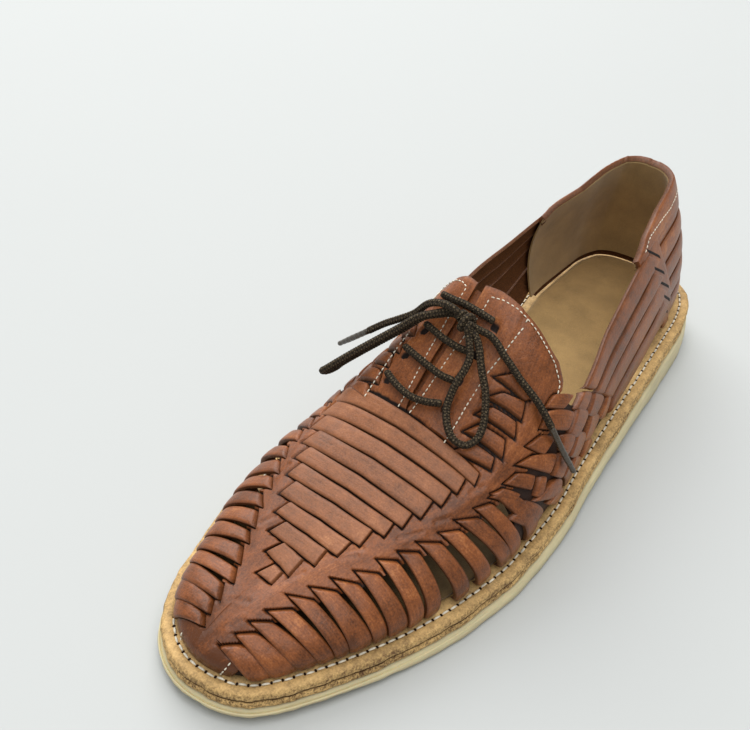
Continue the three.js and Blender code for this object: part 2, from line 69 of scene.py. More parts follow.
# Sole rim seen from above: distance from the heel, inner edge, outer edge
RIM = np.array([
    (0, -3, -3), (3, -19.5, 14.5), (12, -29.5, 27.5), (30, -33.9, 35), (60, -32.8, 39.6),
    (100, -27.2, 44.8), (140, -29, 49.8), (170, -38, 54.2), (195, -46, 54.8), (220, -48, 51.6),
    (240, -45.2, 46.5), (262, -38.9, 38), (282, -31.4, 27.9), (295, -21.4, 18.4), (302, -2.8, -2.8),
], float)
# Sole heights: distance from the heel, top of the welt, lift of the underside
SOLE = np.array([
    (0, 20, 0), (62, 19.4, 0), (84, 18.8, 2.6), (108, 18, 3.8), (150, 15.4, 1.7), (182, 13.4, 0),
    (205, 12.5, 0), (232, 12.1, 0), (268, 12.3, 2.2), (302, 13.4, 3.2),
], float)
# Last: distance from the heel, ridge place and height, roundness of each side and of the rise,
# swell of each side and its reach, forward lean of the ridge, inset from the rim
LAST = np.array([
    (0, -3, 118, 2.2, 2.2, 1, 0.8, 0.8, 40, 22, 7.2),
    (30, -3, 117, 2.2, 2.6, 1, 1.5, 0, 50, 18, 7.2),
    (60, -3, 116, 1.9, 2.4, 1, 5, 0.5, 60, 13, 6.6),
    (110, -3, 109, 1.1, 2.0, 1, 9, 1, 70, 4, 5.8),
    (135, -2.5, 99, 0.95, 1.3, 0.97, 7, 1.5, 66, 1, 5.6),
    (158, -2.5, 84, 0.86, 0.88, 0.92, 4.5, 2, 50, 0, 5.6),
    (175, -2.5, 68, 0.84, 0.84, 0.9, 3.2, 2.4, 38, 0, 5.6),
    (197, -2, 50, 0.84, 0.84, 0.88, 2.5, 2.5, 26, 0, 5.6),
    (215, -1.5, 43, 0.86, 0.86, 0.88, 2.5, 2.5, 23, 0, 5.6),
    (240, -1, 36, 0.88, 0.88, 0.88, 2.2, 2.2, 20, 0, 5.6),
    (266, -1, 30, 0.9, 0.9, 0.88, 2, 2, 18, 0, 5.6),
    (286, -1.8, 26, 0.9, 0.9, 0.88, 1.6, 1.6, 16, 0, 5.6),
    (296, -2.4, 22.5, 0.9, 0.9, 0.9, 1.2, 1.2, 14, 0, 5.6),
    (302, -2.8, 17, 0.9, 0.9, 0.9, 0.8, 0.8, 12, 0, 5.6),
], float)
# Topline seen from the side: the upper is open above it
TOPLINE = np.array([
    (-20, 80.5), (22, 80.5), (45, 78), (66, 74), (76, 69.5), (96, 62), (114, 57.5), (132, 55),
    (147, 54.5), (154, 57),
], float)

# Strips across the vamp, as four corners of distance and height on the last
VAMP_STRIPS = [
    [(272, -.05), (266, -.01), (267, .04), (272, .05)],
    [(264, -.11), (259, -.06), (259, .08), (266, .09)],
    [(256, -.19), (251, -.14), (252, .14), (258, .16)],
    [(250, -.24), (245, -.20), (245, .20), (250, .21)],
    [(242, -.30), (236, -.26), (236, .23), (242, .25)],
    [(235, -.35), (229, -.31), (230, .28), (235, .30)],
    [(227, -.39), (222, -.34), (223, .31), (228, .33)],
    [(219, -.44), (214, -.38), (215, .34), (221, .36)],
    [(211, -.50), (206, -.45), (208, .37), (213, .39)],
    [(203, -.55), (198, -.49), (202, .38), (206, .40)],
    [(196, -.58), (190, -.53), (196, .42), (199, .44)],
]
# Side strips from the toe back: front and back corner at the slot, back and front corner at the welt
SIDE_STRIPS = [
    [(296, .18), (291, .31), (288, 1), (294.5, 1)],
    [(290.5, .18), (286, .28), (280.5, 1), (288, 1)],
    [(285, .17), (280.5, .27), (274, 1), (280.5, 1)],
    [(279, .18), (273, .28), (269, 1), (274.3, 1)],
    [(271, .18), (266, .32), (264.6, 1), (269.4, 1)],
    [(264, .24), (259, .36), (257, 1), (265, 1)],
    [(257, .29), (252, .41), (252.3, 1), (257.2, 1)],
    [(250, .34), (245, .43), (245, 1), (252.2, 1)],
    [(242, .37), (237.5, .44), (239, 1), (245, 1)],
    [(235, .41), (230, .48), (232.7, 1), (238.3, 1)],
    [(228, .44), (222, .52), (218.8, 1), (225.3, 1)],
    [(220, .48), (214, .54), (208.4, 1), (214.8, 1)],
    [(213, .49), (206, .56), (197, 1), (203, 1)],
    [(205, .515), (199, .56), (191, 1), (198, 1)],
    [(197, .53), (192, .57), (179, 1), (187, 1)],
]
INNER_SLOTS = [
    [(295, .05), (292, .13)], [(291, .08), (287, .14)], [(286, .09), (281, .17)],
    [(279, .11), (274, .18)], [(272, .18), (266, .26)], [(264, .24), (260, .30)],
    [(258, .28), (252, .35)], [(250, .34), (245, .42)], [(242, .38), (237, .45)],
    [(235, .42), (229, .50)], [(228, .46), (222, .53)], [(219, .49), (213, .55)],
    [(212, .50), (206, .56)], [(205, .52), (199, .57)], [(197, .54), (192, .58)],
]
INNER_STRIPS = [[*slot, *strip[2:]] for slot, strip in zip(INNER_SLOTS, SIDE_STRIPS)]
# Tabs cut from the flap: front and back corner at the flap, back and front corner at the band
TABS = [
    [(173, .24), (169, .30), (168, .46), (171, .42)],
    [(179, .25), (175, .30), (171, .43), (175, .46)],
    [(184, .25), (180, .29), (177, .44), (180, .48)],
    [(190, .24), (186, .28), (183, .44), (187, .48)],
    [(197, .24), (191, .30), (189, .44), (192, .46)],
]
# Strips that leave the band at the waist: upper pair of corners, then lower pair
BAND_STRIPS = [
    [(166, .53), (161, .54), (151, .65), (158, .63)],
    [(171, .56), (166, .55), (153, .70), (159, .71)],
    [(178, .55), (172, .58), (167, .66), (173, .66)],
    [(184, .56), (178, .60), (168, .72), (173, .75)],
    [(191, .56), (186, .58), (180, .68), (183, .71)],
    [(198, .54), (193, .56), (188, .67), (191, .67)],
]
# Cells of the plait at the waist
PLAIT = [
    [(152, .69), (144, .70), (136, .76), (142, .78)],
    [(141, .80), (135, .77), (123, .86), (132, .87)],
    [(125, .92), (118, .88), (113, .91), (117, .97)],
    [(159, .72), (151, .70), (140, .81), (151, .81)],
    [(142, .89), (137, .83), (125, .92), (134, .95)],
    [(166, .75), (161, .72), (154, .78), (161, .79)],
    [(159, .82), (152, .79), (140, .89), (147, .93)],
    [(140, .98), (138, .92), (128, .99), (135, 1)],
    [(171, .77), (167, .73), (162, .78), (166, .81)],
    [(158, .89), (153, .88), (139, .99), (144, 1)],
    [(172, .77), (168, .73), (160, .82), (165, .86)],
    [(166, .72), (164, .68), (156, .76), (161, .79)],
    [(183, .74), (179, .70), (175, .75), (179, .80)],
    [(184, .76), (173, .79), (166, .86), (165, .96)],
    [(196, .70), (188, .70), (178, .90), (184, .94)],
    [(176, .88), (170, .87), (157, .99), (164, 1)],
    [(164, .86), (159, .84), (148, .97), (154, 1)],
]
# Upper border of the leather under the plait: distance, height
PLAIT_TOP = ((108, 113, 123, 135, 146, 152, 158, 170, 188, 194),
             (.95, .91, .865, .80, .72, .68, .575, .58, .60, .60))
# Heel straps: upper edge and lower edge, from the stay forwards
HEEL_STRAPS = [
    ([(62.5, .667), (76, .673), (94, .684), (110, .694), (126, .70), (142, .70)],
     [(51.5, .729), (70, .738), (90, .748), (110, .758), (124, .763), (134, .765)]),
    ([(60.3, .732), (75, .748), (95, .759), (115, .769), (126, .773), (134, .775)],
     [(49.8, .788), (70, .797), (88, .804), (104, .814), (116, .824), (126, .832)]),
    ([(59, .782), (72, .803), (90, .812), (106, .824), (116, .833), (124, .84)],
     [(45, .853), (60, .868), (78, .879), (94, .890), (106, .901), (115, .912)]),
    ([(53, .857), (65, .882), (79, .891), (94, .901), (104, .912), (113, .926)],
     [(42.5, .912), (58, .948), (76, .970), (93, .982), (103, .985), (112, .985)]),
]
# Slots in the stay, above which the straps come out: front and back corner
STAY_SLOTS = [[(63.1, .660), (52.1, .722)], [(60.9, .725), (50.5, .781)], [(59.8, .772), (45.9, .845)],
              [(53.7, .845), (43.4, .901)], [(53.5, .889), (45, .937)]]
# Stay from its pointed top down: front and back border
STAY = ([(50.5, .645), (63.7, .654), (62.2, .725), (61, .775), (56, .845), (54.5, .89), (47, .985)],
        [(49.6, .645), (47.8, .717), (44.7, .800), (41.6, .855), (40.4, .905), (41, .946), (38, .985)])
# Bands round the heel, from the collar down: upper and lower edge
HEEL_BANDS = [(.615, .685), (.695, .755), (.765, .825), (.835, .895), (.905, .965)]

EYELETS = [(163.5, .14, .156), (172, .12, .164), (180.3, .11, .176), (188.6, .12, .184)]

# Lace: points along the middle of each length
BARS = {
    "lace_bar_1": [(188.5, -15.5, 57.5), (191, -9, 57), (192, -2, 56.5), (191, 4, 57), (189.5, 8.5, 58)],
    "lace_bar_2": [(180, -14.5, 65), (181.5, -8.5, 65), (182.5, -2, 64.5), (183, 4, 64), (182.5, 8, 64)],
    "lace_bar_3": [(172.3, -11.5, 72.3), (173.7, -7.5, 72.7), (174.8, -2, 72.4), (174.8, 4, 71.9),
                   (174.2, 8, 71.8)],
    "lace_bar_4": [(163.5, -11.5, 80.8), (164, -7, 81.3), (164, -2, 81.7), (164, 5, 81.3),
                   (164, 10, 80.7)],
}
FREE_LENGTHS = {
    "lace_loop_lateral": [
        (174.3, 8.2, 76), (176.5, 10.5, 72.5), (180, 11.2, 69), (183.5, 11, 66), (186.5, 11, 62),
        (190, 12, 58), (194, 16, 54), (195.5, 20, 52), (194.5, 24, 51.5), (191, 26, 53),
        (187, 25.5, 56), (183.5, 23.5, 60), (180, 20.5, 64.5), (177, 16, 70), (174, 12.5, 74.5)],
    "lace_loop_medial": [
        (171, -5, 80.8), (173, -8.5, 79.2), (175.4, -13, 76.8), (178.5, -19.5, 69.8),
        (182.5, -26, 63.2), (186.5, -32.5, 56.5), (190, -38.3, 50.2), (191.6, -42, 46),
        (191, -44.2, 43.4), (189, -43.8, 42.2), (187.6, -41.2, 44.4), (187, -38.3, 48.2),
        (183.6, -32.4, 54.6), (179.6, -25.9, 61.3), (175.6, -19.4, 67.9), (172.4, -13, 75),
        (170.2, -8.4, 77.2), (168.8, -5.5, 78.4)],
    "lace_end_lateral": [
        (169, 9.5, 78.5), (168.5, 12.5, 78), (168.5, 15.5, 76.5), (169.5, 19.5, 74), (170, 24, 71),
        (170.5, 28, 68.2), (170.3, 32, 65.3), (170, 36, 62), (170, 39.5, 58.5), (169.7, 42.3, 54.8)],
    "lace_end_medial": [
        (171.5, -4.5, 84.2), (171, -8.5, 82.8), (170.8, -12.8, 80), (171.4, -18, 73.4),
        (173.5, -23.5, 69), (174.5, -28.5, 65), (176.5, -34, 60)],
}
TIPS = {
    "aglet_lateral": [(169.6, 43, 53.7), (168.3, 48.2, 45.2), (164.6, 52.2, 35.5)],
    "aglet_medial": [(176.7, -34.7, 59.3), (176.5, -41.5, 52.5), (176, -48.5, 45.5)],
}
KNOT = dict(middle=(170.2, 3.4, 79.8), radius=2.5, turns=2, pitch=2.9)


def station(x):
    """Angle that runs from 0 at the heel to pi at the toe, so that both ends close roundly."""
    return np.arccos(np.clip(1 - 2 * np.asarray(x, float) / LENGTH, -1, 1))


def along_at(a):
    return LENGTH * (1 - np.cos(a)) / 2


def column(table, index):
    """Curve through one column of a table by station: between rows a cubic whose slope at a row is
    the harmonic mean of the slopes beside it, or level where they differ in sign."""
    at, value = station(table[:, 0]), table[:, index]
    step = np.diff(at)
    rise = np.diff(value) / step
    p, q = rise[:-1], rise[1:]
    same = p * q > 0
    slope = np.r_[rise[0], np.where(same, 2 * p * q / np.where(same, p + q, 1), 0), rise[-1]]

    def curve(a):
        i = np.clip(np.searchsorted(at, a, "left") - 1, 0, len(step) - 1)
        t = np.clip((a - at[i]) / step[i], 0, 1)
        s = 1 - t
        return (value[i] * (1 + 2 * t) * s * s + value[i + 1] * t * t * (1 + 2 * s)
                + step[i] * t * s * (slope[i] * s - slope[i + 1] * t))
    return curve


RIM_INNER, RIM_OUTER = column(RIM, 1), column(RIM, 2)
WELT_TOP, UNDERSIDE = column(SOLE, 1), column(SOLE, 2)
(RIDGE_Y, RIDGE_Z, ROUND_INNER, ROUND_OUTER, RISE, SWELL_INNER, SWELL_OUTER, REACH, LEAN,
 INSET) = [column(LAST, i) for i in range(1, 11)]


def lengths(line):
    """Length along a line up to each of its points."""
    return np.r_[0, np.cumsum(np.linalg.norm(np.diff(line, axis=0), axis=-1))]


def points_at(even, run, line):
    """Points of a line where its run reaches the given lengths."""
    return np.stack([np.interp(even, run, line[:, k]) for k in range(line.shape[1])], -1)


def unit(v):
    return v / np.linalg.norm(v, axis=-1, keepdims=True)


def rim(a, side, inset):
    """Point of the sole's rim moved inwards by inset, and the outward direction: the rim's own
    direction of run turned by a quarter, straight back or forwards at the two ends."""
    a, side, inset = np.broadcast_arrays(np.asarray(a, float), np.asarray(side, float), inset)

    def edge(b):
        return np.where(side > 0, RIM_OUTER(b), RIM_INNER(b))
    before, after = np.maximum(a - 0.01, 0), np.minimum(a + 0.01, math.pi)
    run = unit(np.stack([along_at(after) - along_at(before), edge(after) - edge(before)], -1))
    out = np.stack([-run[..., 1], run[..., 0]], -1) * side[..., None]
    end = np.minimum(a, math.pi - a) < 1e-6
    tip = np.stack([np.where(a < 1, -1.0, 1.0), np.zeros_like(a)], -1)
    out = np.where(end[..., None], tip, out)
    point = np.stack([along_at(a), edge(a)], -1) - inset[..., None] * out
    return point, out


def last(x, u, lift=0.0):
    """Point of the last. u runs from -1 at the inner foot over 0 at the ridge to 1 at the outer foot.
    The height is a power of the sine of the quarter turn that is left, and the way in from the foot
    to the ridge is one less a power of its cosine. lift is the height over the leather's face."""
    x, u, lift = np.broadcast_arrays(np.asarray(x, float), np.asarray(u, float), lift)
    a, side = station(x), np.where(u >= 0, 1.0, -1.0)
    outer = side > 0
    inset = INSET(a) - lift
    foot, out = rim(a, side, inset)
    foot_z = WELT_TOP(a) + GAP
    turn = (1 - np.abs(u)) * math.pi / 2
    inwards = 1 - np.cos(turn) ** np.where(outer, ROUND_OUTER(a), ROUND_INNER(a))
    z = foot_z + (RIDGE_Z(a) + lift - foot_z) * np.sin(turn) ** RISE(a)
    swell = (np.where(outer, SWELL_OUTER(a), SWELL_INNER(a))
             * np.sin(math.pi * np.clip((z - foot_z) / REACH(a), 0, 1)))
    ridge_x = inset + (LENGTH - 2 * inset) * (1 - np.cos(a)) / 2 + LEAN(a)
    return np.stack([
        foot[..., 0] + (ridge_x - foot[..., 0]) * inwards + out[..., 0] * swell,
        foot[..., 1] + (RIDGE_Y(a) - foot[..., 1]) * inwards + out[..., 1] * swell,
        z], -1)


def middle_of_sole():
    """Middle of the outsole's box, which stands over the frame's origin."""
    a = np.pi * np.arange(45) / 44
    y = np.concatenate([rim(a, side, -RUBBER_REACH)[0][:, 1] for side in (1, -1)])
    return np.array([LENGTH / 2, (y.min() + y.max()) / 2, 0])


MIDDLE = middle_of_sole()


def place(points):
    """Millimetres on the shoe to metres in the frame."""
    return (np.asarray(points, float) - MIDDLE) / 1000


def smooth(t):
    t = np.clip(t, 0, 1)
    return t * t * (3 - 2 * t)


# Squares of the flat table along the shoe and over each side of it, and the height on the last
# along which its lengths forwards are told
FLAT_ALONG, FLAT_SIDE, FLAT_RUN = 151, 100, 0.3


def flat_table():
    """Length of the leather from the ridge down to u, and from the heel forwards, on a grid."""
    x, u = np.linspace(0, LENGTH, FLAT_ALONG + 1), np.linspace(-1, 1, 2 * FLAT_SIDE + 1)
    p = last(x[:, None], u)
    down = np.cumsum(np.linalg.norm(np.diff(p, axis=1), axis=-1), 1)
    down = np.pad(down, ((0, 0), (1, 0)))
    return x, down - down[:, [FLAT_SIDE]], lengths(p[:, round((1 + FLAT_RUN) * FLAT_SIDE)])


FLAT_X, FLAT_DOWN, FLAT_FORWARDS = flat_table()


def flat(x, u):
    """The leather laid flat: lengths forwards and down from the ridge in millimetres."""
    x, u = np.broadcast_arrays(np.asarray(x, float), np.asarray(u, float))
    row, col = x / LENGTH * FLAT_ALONG, (u + 1) * FLAT_SIDE
    i = np.clip(row.astype(int), 0, FLAT_ALONG - 1)
    j = np.clip(col.astype(int), 0, 2 * FLAT_SIDE - 1)
    s, t = np.clip(row - i, 0, 1), np.clip(col - j, 0, 1)
    down = ((FLAT_DOWN[i, j] * (1 - s) + FLAT_DOWN[i + 1, j] * s) * (1 - t)
            + (FLAT_DOWN[i, j + 1] * (1 - s) + FLAT_DOWN[i + 1, j + 1] * s) * t)
    return np.stack([np.interp(x, FLAT_X, FLAT_FORWARDS), down], -1)


def closed_up(strips, gap):
    """Strips of a row, widened towards each other until an even gap is left between neighbours."""
    rows = np.array(strips, float)
    for front, back in zip(rows[:-1], rows[1:]):
        q = flat(*np.array([front[1], front[2], back[0], back[3]]).T)
        across = np.array([q[1, 1] - q[0, 1], q[0, 0] - q[1, 0]]) / np.linalg.norm(q[1] - q[0])
        room = (np.abs((q[2:] - q[0]) @ across) - gap) / 2 / abs(across[0])
        front[1:3, 0] -= room
        back[[0, 3], 0] += room
    return rows


def bend_of(corners):
    """How far a strip across the vamp bows towards the toe: in step with its length."""
    q = flat(*np.array(corners, float).T)
    return VAMP_BOW * np.linalg.norm(q[2] + q[3] - q[0] - q[1])


def outside(p, corners, end_room, side_room, bend=0.0):
    """How far points of the flat leather lie outside a four-cornered patch that is widened by its
    rooms: the largest of the four distances to its edges, below 0 inside. A bend bows its middle."""
    q = flat(*np.array(corners, float).T)
    if bend:
        start, axis = (q[0] + q[1]) / 2, (q[2] + q[3] - q[0] - q[1]) / 2
        s = np.clip((p - start) @ axis / (axis @ axis), 0, 1)
        p = p - (bend * (1 - (2 * s - 1) ** 2))[..., None] * np.array([1.0, 0.0])
    turn = np.sign(np.sum(q[:, 0] * np.roll(q[:, 1], -1) - np.roll(q[:, 0], -1) * q[:, 1]))
    far = []
    for i, room in enumerate((end_room, side_room, end_room, side_room)):
        edge = q[(i + 1) % 4] - q[i]
        normal = np.array([edge[1], -edge[0]]) * turn / np.linalg.norm(edge)
        far.append((p - q[i]) @ normal - room)
    return np.max(far, axis=0)


def settle(x, u):
    """The middle of the vamp lies a little flatter than the last."""
    return -1.2 * np.exp(-(u / 0.24) ** 2) * smooth((x - 188) / 22) * smooth((292 - x) / 30)


VAMP_ROW = closed_up(VAMP_STRIPS, VAMP_GAP)


def near_line(p, line):
    """Distance of points of the flat leather from a broken line of distance and height pairs."""
    q = flat(*np.array(line, float).T)
    best = np.full(p.shape[:-1], 1e9)
    for start, end in zip(q[:-1], q[1:]):
        run = end - start
        t = np.clip(((p - start) @ run) / (run @ run), 0, 1)
        best = np.minimum(best, np.linalg.norm(p - start - t[..., None] * run, axis=-1))
    return best


def mesh_piece(name, points, faces, uv, attributes, finish, sharp=48):
    """Mesh object from points in millimetres and faces, with a UV pair for each point. A face of
    three corners repeats its first one at the end."""
    used, faces = np.unique(faces, return_inverse=True)
    faces = faces.reshape(-1, 4)
    real = np.ones(faces.shape, bool)
    real[:, 3] = faces[:, 3] != faces[:, 0]
    corners, sizes = faces[real].astype(np.int32), real.sum(1)
    mesh = bpy.data.meshes.new(name)
    mesh.vertices.add(len(used))
    mesh.vertices.foreach_set("co", place(points[used]).astype(np.float32).ravel())
    mesh.loops.add(len(corners))
    mesh.loops.foreach_set("vertex_index", corners)
    mesh.polygons.add(len(faces))
    mesh.polygons.foreach_set("loop_start", (np.cumsum(sizes) - sizes).astype(np.int32))
    layer = mesh.uv_layers.new(name="lengths")
    layer.data.foreach_set("uv", uv[used][corners].astype(np.float32).ravel())
    for key, values in attributes.items():
        attribute = mesh.attributes.new(key, "FLOAT", "POINT")
        attribute.data.foreach_set("value", values[used].astype(np.float32))
    mesh.update(calc_edges=True)
    mesh.validate()
    mesh.shade_smooth()
    mesh.set_sharp_from_angle(angle=math.radians(sharp))
    mesh.materials.append(finish)
    piece = bpy.data.objects.new(name, mesh)
    bpy.context.scene.collection.objects.link(piece)
    return piece


def dress(piece, *nodes):
    """Lets a finished piece stand for its nodes and go with the shoe."""
    if nodes:
        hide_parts(*nodes)
    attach(piece, "root")


def mirrored(strip, side):
    """A strip or line of the outer side, or the same on the inner side."""
    return np.array(strip, float) * (1, side)


def dip(s, length, dive, depth):
    """How far a strip goes down at its ends: a quarter of a sine over the dive length of each."""
    down = np.zeros_like(s)
    for reach, away in zip(dive, (s, 1 - s)):
        if reach:
            down = np.maximum(down, 1 - np.sin(math.pi / 2 * np.clip(away * length / reach, 0, 1)))
    return depth * down


class Leather:
    """Pieces of leather on the last, gathered into one mesh. tone shifts the colour of a piece, dark
    is 1 where near black painted shade fills cuts and grooves, cut is 1 on the flesh side, and edge is 1
    on a border darkened partly as burnished leather and partly as painted shade."""

    def __init__(self):
        self.parts, self.count = [], 0

    def sheet(self, x, u, lift, thick, tone=0.0, dark=0.0, edge=0.0, keep=None):
        """Closed piece on a grid: its face lies lift over the last, its back lies thick under the
        face, and walls join them round every border of the kept squares."""
        x, u, lift, thick, tone, dark, edge = np.broadcast_arrays(x, u, lift, thick, tone, dark, edge)
        face, back = last(x, u, lift), last(x, u, lift - thick)
        rows, cols = x.shape
        n = rows * cols
        ids = np.arange(n).reshape(rows, cols)
        quad = np.stack([ids[:-1, :-1], ids[1:, :-1], ids[1:, 1:], ids[:-1, 1:]], -1)
        quad = quad.reshape(-1, 4) if keep is None else quad[keep]
        f, b = face.reshape(-1, 3), back.reshape(-1, 3)
        normal = np.cross(f[quad[:, 2]] - f[quad[:, 0]], f[quad[:, 3]] - f[quad[:, 1]])
        if np.sum(normal * (f - b)[quad[:, 0]]) < 0:
            quad = quad[:, ::-1]
        start, end = quad.ravel(), np.roll(quad, -1, 1).ravel()
        border = ~np.isin(start * n + end, end * n + start)
        start, end = start[border], end[border]
        walls = np.stack([end, start, start + n, end + n], -1)
        quads = np.concatenate([quad, quad[:, ::-1] + n, walls])
        length, width = lengths(face[:, cols // 2]), lengths(face[rows // 2])
        uv = np.stack(np.meshgrid(length, width, indexing="ij"), -1).reshape(-1, 2) / 1000
        tone, dark, edge = (np.tile(part.ravel(), 2) for part in (tone, dark, edge))
        self.parts.append((np.concatenate([f, b]), quads + self.count,
                           np.tile(uv, (2, 1)) + UV_STEP * (self.count % UV_STEPS),
                           tone, dark, np.repeat([0.0, 1.0], n), edge))
        self.count += 2 * n

    def ribbon(self, corners, lift, thick, dive=(1.6, 1.6), depth=1.3, crown=0.15, tilt=0.0,
               tone=0.0, steps=22, bow=0.0, bend=0.0, dark=0.0, taper=0.0):
        """Strip between two ends, straight on the last's own coordinates. Its face is crowned, its
        borders are rounded off, and near a diving end it drops by depth over the dive length. bow
        widens it by a share off its ends, taper narrows its far end, bend moves its middle
        forwards, and tilt raises one border."""
        c = np.array(corners, float)
        q = flat(*c.T)
        length = np.linalg.norm((q[2] + q[3] - q[0] - q[1]) / 2)
        s = smooth(np.linspace(0, 1, steps)) * 0.45 + np.linspace(0, 1, steps) * 0.55
        near = np.array([0, .35, .7, 1.1, 1.6]) / max(length, 4)
        s = np.unique(np.round(np.r_[s, near, 1 - near], 5))[:, None]
        t = np.array([0, .03, .08, .25, .5, .75, .92, .97, 1])[None]
        wide = 0.5 + (t - 0.5) * (1 + bow * np.sqrt(np.sin(math.pi * np.clip(s, 0, 1)))
                                  - taper * smooth((s - 0.84) / 0.16) ** 2)
        start, finish = (a * (1 - wide[..., None]) + b * wide[..., None]
                         for a, b in ((c[0], c[1]), (c[3], c[2])))
        p = start * (1 - s[..., None]) + finish * s[..., None]
        p = p + (bend * (1 - (2 * s - 1) ** 2))[..., None] * np.array([1.0, 0.0])
        border = np.abs(2 * t - 1)
        height = (lift + crown * (1 - border ** 2) - 0.22 * thick * smooth((border - 0.8) / 0.2) ** 2
                  + settle(p[..., 0], p[..., 1]) + tilt * (0.5 - t) - dip(s, length, dive, depth))
        # Darker borders, partly burnished leather and partly painted shade of the gaps, and painted shade
        # at the ends that dive into their slits
        border_burnish_and_shade = np.maximum(smooth((border - 0.82) / 0.18), smooth(1 - np.minimum(s, 1 - s) * length))
        self.sheet(p[..., 0], np.clip(p[..., 1], -1, 1), height, thick, tone, dark, border_burnish_and_shade)

    def band_between(self, upper, lower, lift, thick, crown, tone, dive, paired=False):
        """Strip between two broken lines, joined by their share of the length, or corner to corner
        where they are paired, with a crowned face and rounded borders."""
        s = np.linspace(0, 1, 70)
        half = 1 if paired else 3
        kernel = np.ones(2 * half + 1) / (2 * half + 1)

        def follow(line):
            q = lengths(flat(*line.T))
            even = points_at(s, np.linspace(0, 1, len(line)) if paired else q / q[-1], line)
            even = np.pad(even, ((half, half), (0, 0)), "reflect", reflect_type="odd")
            return np.stack([np.convolve(even[:, k], kernel, "valid") for k in (0, 1)], -1), q[-1]
        (high, length), (low, _) = follow(upper), follow(lower)
        t = np.array([0, .04, .1, .25, .5, .75, .9, .96, 1])[None, :, None]
        p = high[:, None] * (1 - t) + low[:, None] * t
        border = np.abs(2 * t[..., 0] - 1)
        # Darker borders, partly burnished leather and partly painted shade of the gaps beside them
        border_burnish_and_shade = smooth((border - 0.75) / 0.25)
        height = (lift + crown * (1 - border ** 2) - 0.3 * thick * border_burnish_and_shade
                  - dip(s[:, None], length, dive, 1.3))
        self.sheet(p[..., 0], np.clip(p[..., 1], -1, 1), height, thick, tone, 0.0, border_burnish_and_shade)

    def put(self, name, finish, *nodes):
        points, quads, uv, *values = (np.concatenate(part) for part in zip(*self.parts))
        attributes = dict(zip(("tone", "dark", "cut", "edge"), values))
        dress(mesh_piece(name, points, quads, uv, attributes, finish), *nodes)


class Field:
    """A number that varies over a surface. Arithmetic on it adds Math nodes."""

    def __init__(self, shader, socket):
        self.shader, self.socket = shader, socket

    def math(self, operation, *values, clamp=False):
        return self.shader.node("ShaderNodeMath", dict(operation=operation, use_clamp=clamp),
                                dict(enumerate(values)))

    def __add__(self, other):
        return self.math("ADD", self, other)

    def __mul__(self, other):
        return self.math("MULTIPLY", self, other)

    def __sub__(self, other):
        return self.math("SUBTRACT", self, other)

    def __rsub__(self, other):
        return self.math("SUBTRACT", other, self)

    __radd__, __rmul__ = __add__, __mul__

    def clamp(self):
        return self.math("ADD", self, 0.0, clamp=True)

    def swing(self, size):
        """Up to half the size either way, from a number about one half."""
        return (self - 0.5) * size

    def sine(self):
        return self.math("SINE", self)

    def above(self, low, high):
        """0 below low, 1 above high, eased between."""
        return self.shader.node("ShaderNodeMapRange", dict(interpolation_type="SMOOTHSTEP"),
                                {"Value": self, "From Min": low, "From Max": high})


class Finish:
    """A material and its nodes."""

    def __init__(self, name, specular, **constants):
        self.material = bpy.data.materials.new(name)
        self.material.use_nodes = True
        self.tree = self.material.node_tree
        self.tree.nodes.clear()
        output = self.tree.nodes.new("ShaderNodeOutputMaterial")
        self.shader = self.tree.nodes.new("ShaderNodeBsdfPrincipled")
        self.tree.links.new(self.shader.outputs[0], output.inputs["Surface"])
        for key, value in {"Specular_IOR_Level": specular, **constants}.items():
            self.shader.inputs[key.replace("_", " ")].default_value = value

    def node(self, kind, settings=None, sockets=None, output=0):
        """Any node: its settings first, then the values or links of its sockets."""
        node = self.tree.nodes.new(kind)
        for key, value in (settings or {}).items():
            if key == "stops":
                ramp = node.color_ramp
                for _ in range(len(value) - 2):
                    ramp.elements.new(0.5)
                for element, (position, colour) in zip(ramp.elements, value):
                    element.position, element.color = position, (*colour, 1)
            else:
                setattr(node, key, value)
        for key, value in (sockets or {}).items():
            if isinstance(value, Field):
                self.tree.links.new(value.socket, node.inputs[key])
            else:
                node.inputs[key].default_value = value
        return Field(self, node.outputs[output])

    def place(self, stretch=None, source="Object"):
        where = self.node("ShaderNodeTexCoord", output=source)
        if stretch is None:
            return where
        return self.node("ShaderNodeMapping", None, {"Vector": where, "Scale": stretch})

    def attribute(self, name):
        return self.node("ShaderNodeAttribute", dict(attribute_name=name), output="Fac")

    def noise(self, scale, where=None, detail=3.0, roughness=0.55):
        return self.node("ShaderNodeTexNoise", None, {
            "Vector": where or self.place(), "Scale": scale, "Detail": detail, "Roughness": roughness})

    def cells(self, scale, where=None, feature="F1"):
        return self.node("ShaderNodeTexVoronoi", dict(feature=feature), {
            "Vector": where or self.place(), "Scale": scale}, "Distance")

    def mix(self, factor, a, b):
        def solid(value):
            return value if isinstance(value, Field) else (*value, 1)
        return self.node("ShaderNodeMix", dict(data_type="RGBA", clamp_factor=True),
                         {0: factor, 6: solid(a), 7: solid(b)}, 2)

    def done(self, base, roughness=None, height=None, distance=0.0, strength=1.0):
        """Feeds the shader, with a bump where a height is given, and gives the material."""
        links = {"Base Color": base}
        if roughness:
            links["Roughness"] = roughness.clamp()
        if height:
            links["Normal"] = self.node("ShaderNodeBump", None, {
                "Strength": strength, "Distance": distance, "Height": height}, "Normal")
        for key, value in links.items():
            self.tree.links.new(value.socket, self.shader.inputs[key])
        return self.material


def scaled(colour, *factors):
    """A colour times one factor, or times one for each channel."""
    return tuple(channel * factor for channel, factor in zip(colour, factors * (3 // len(factors))))


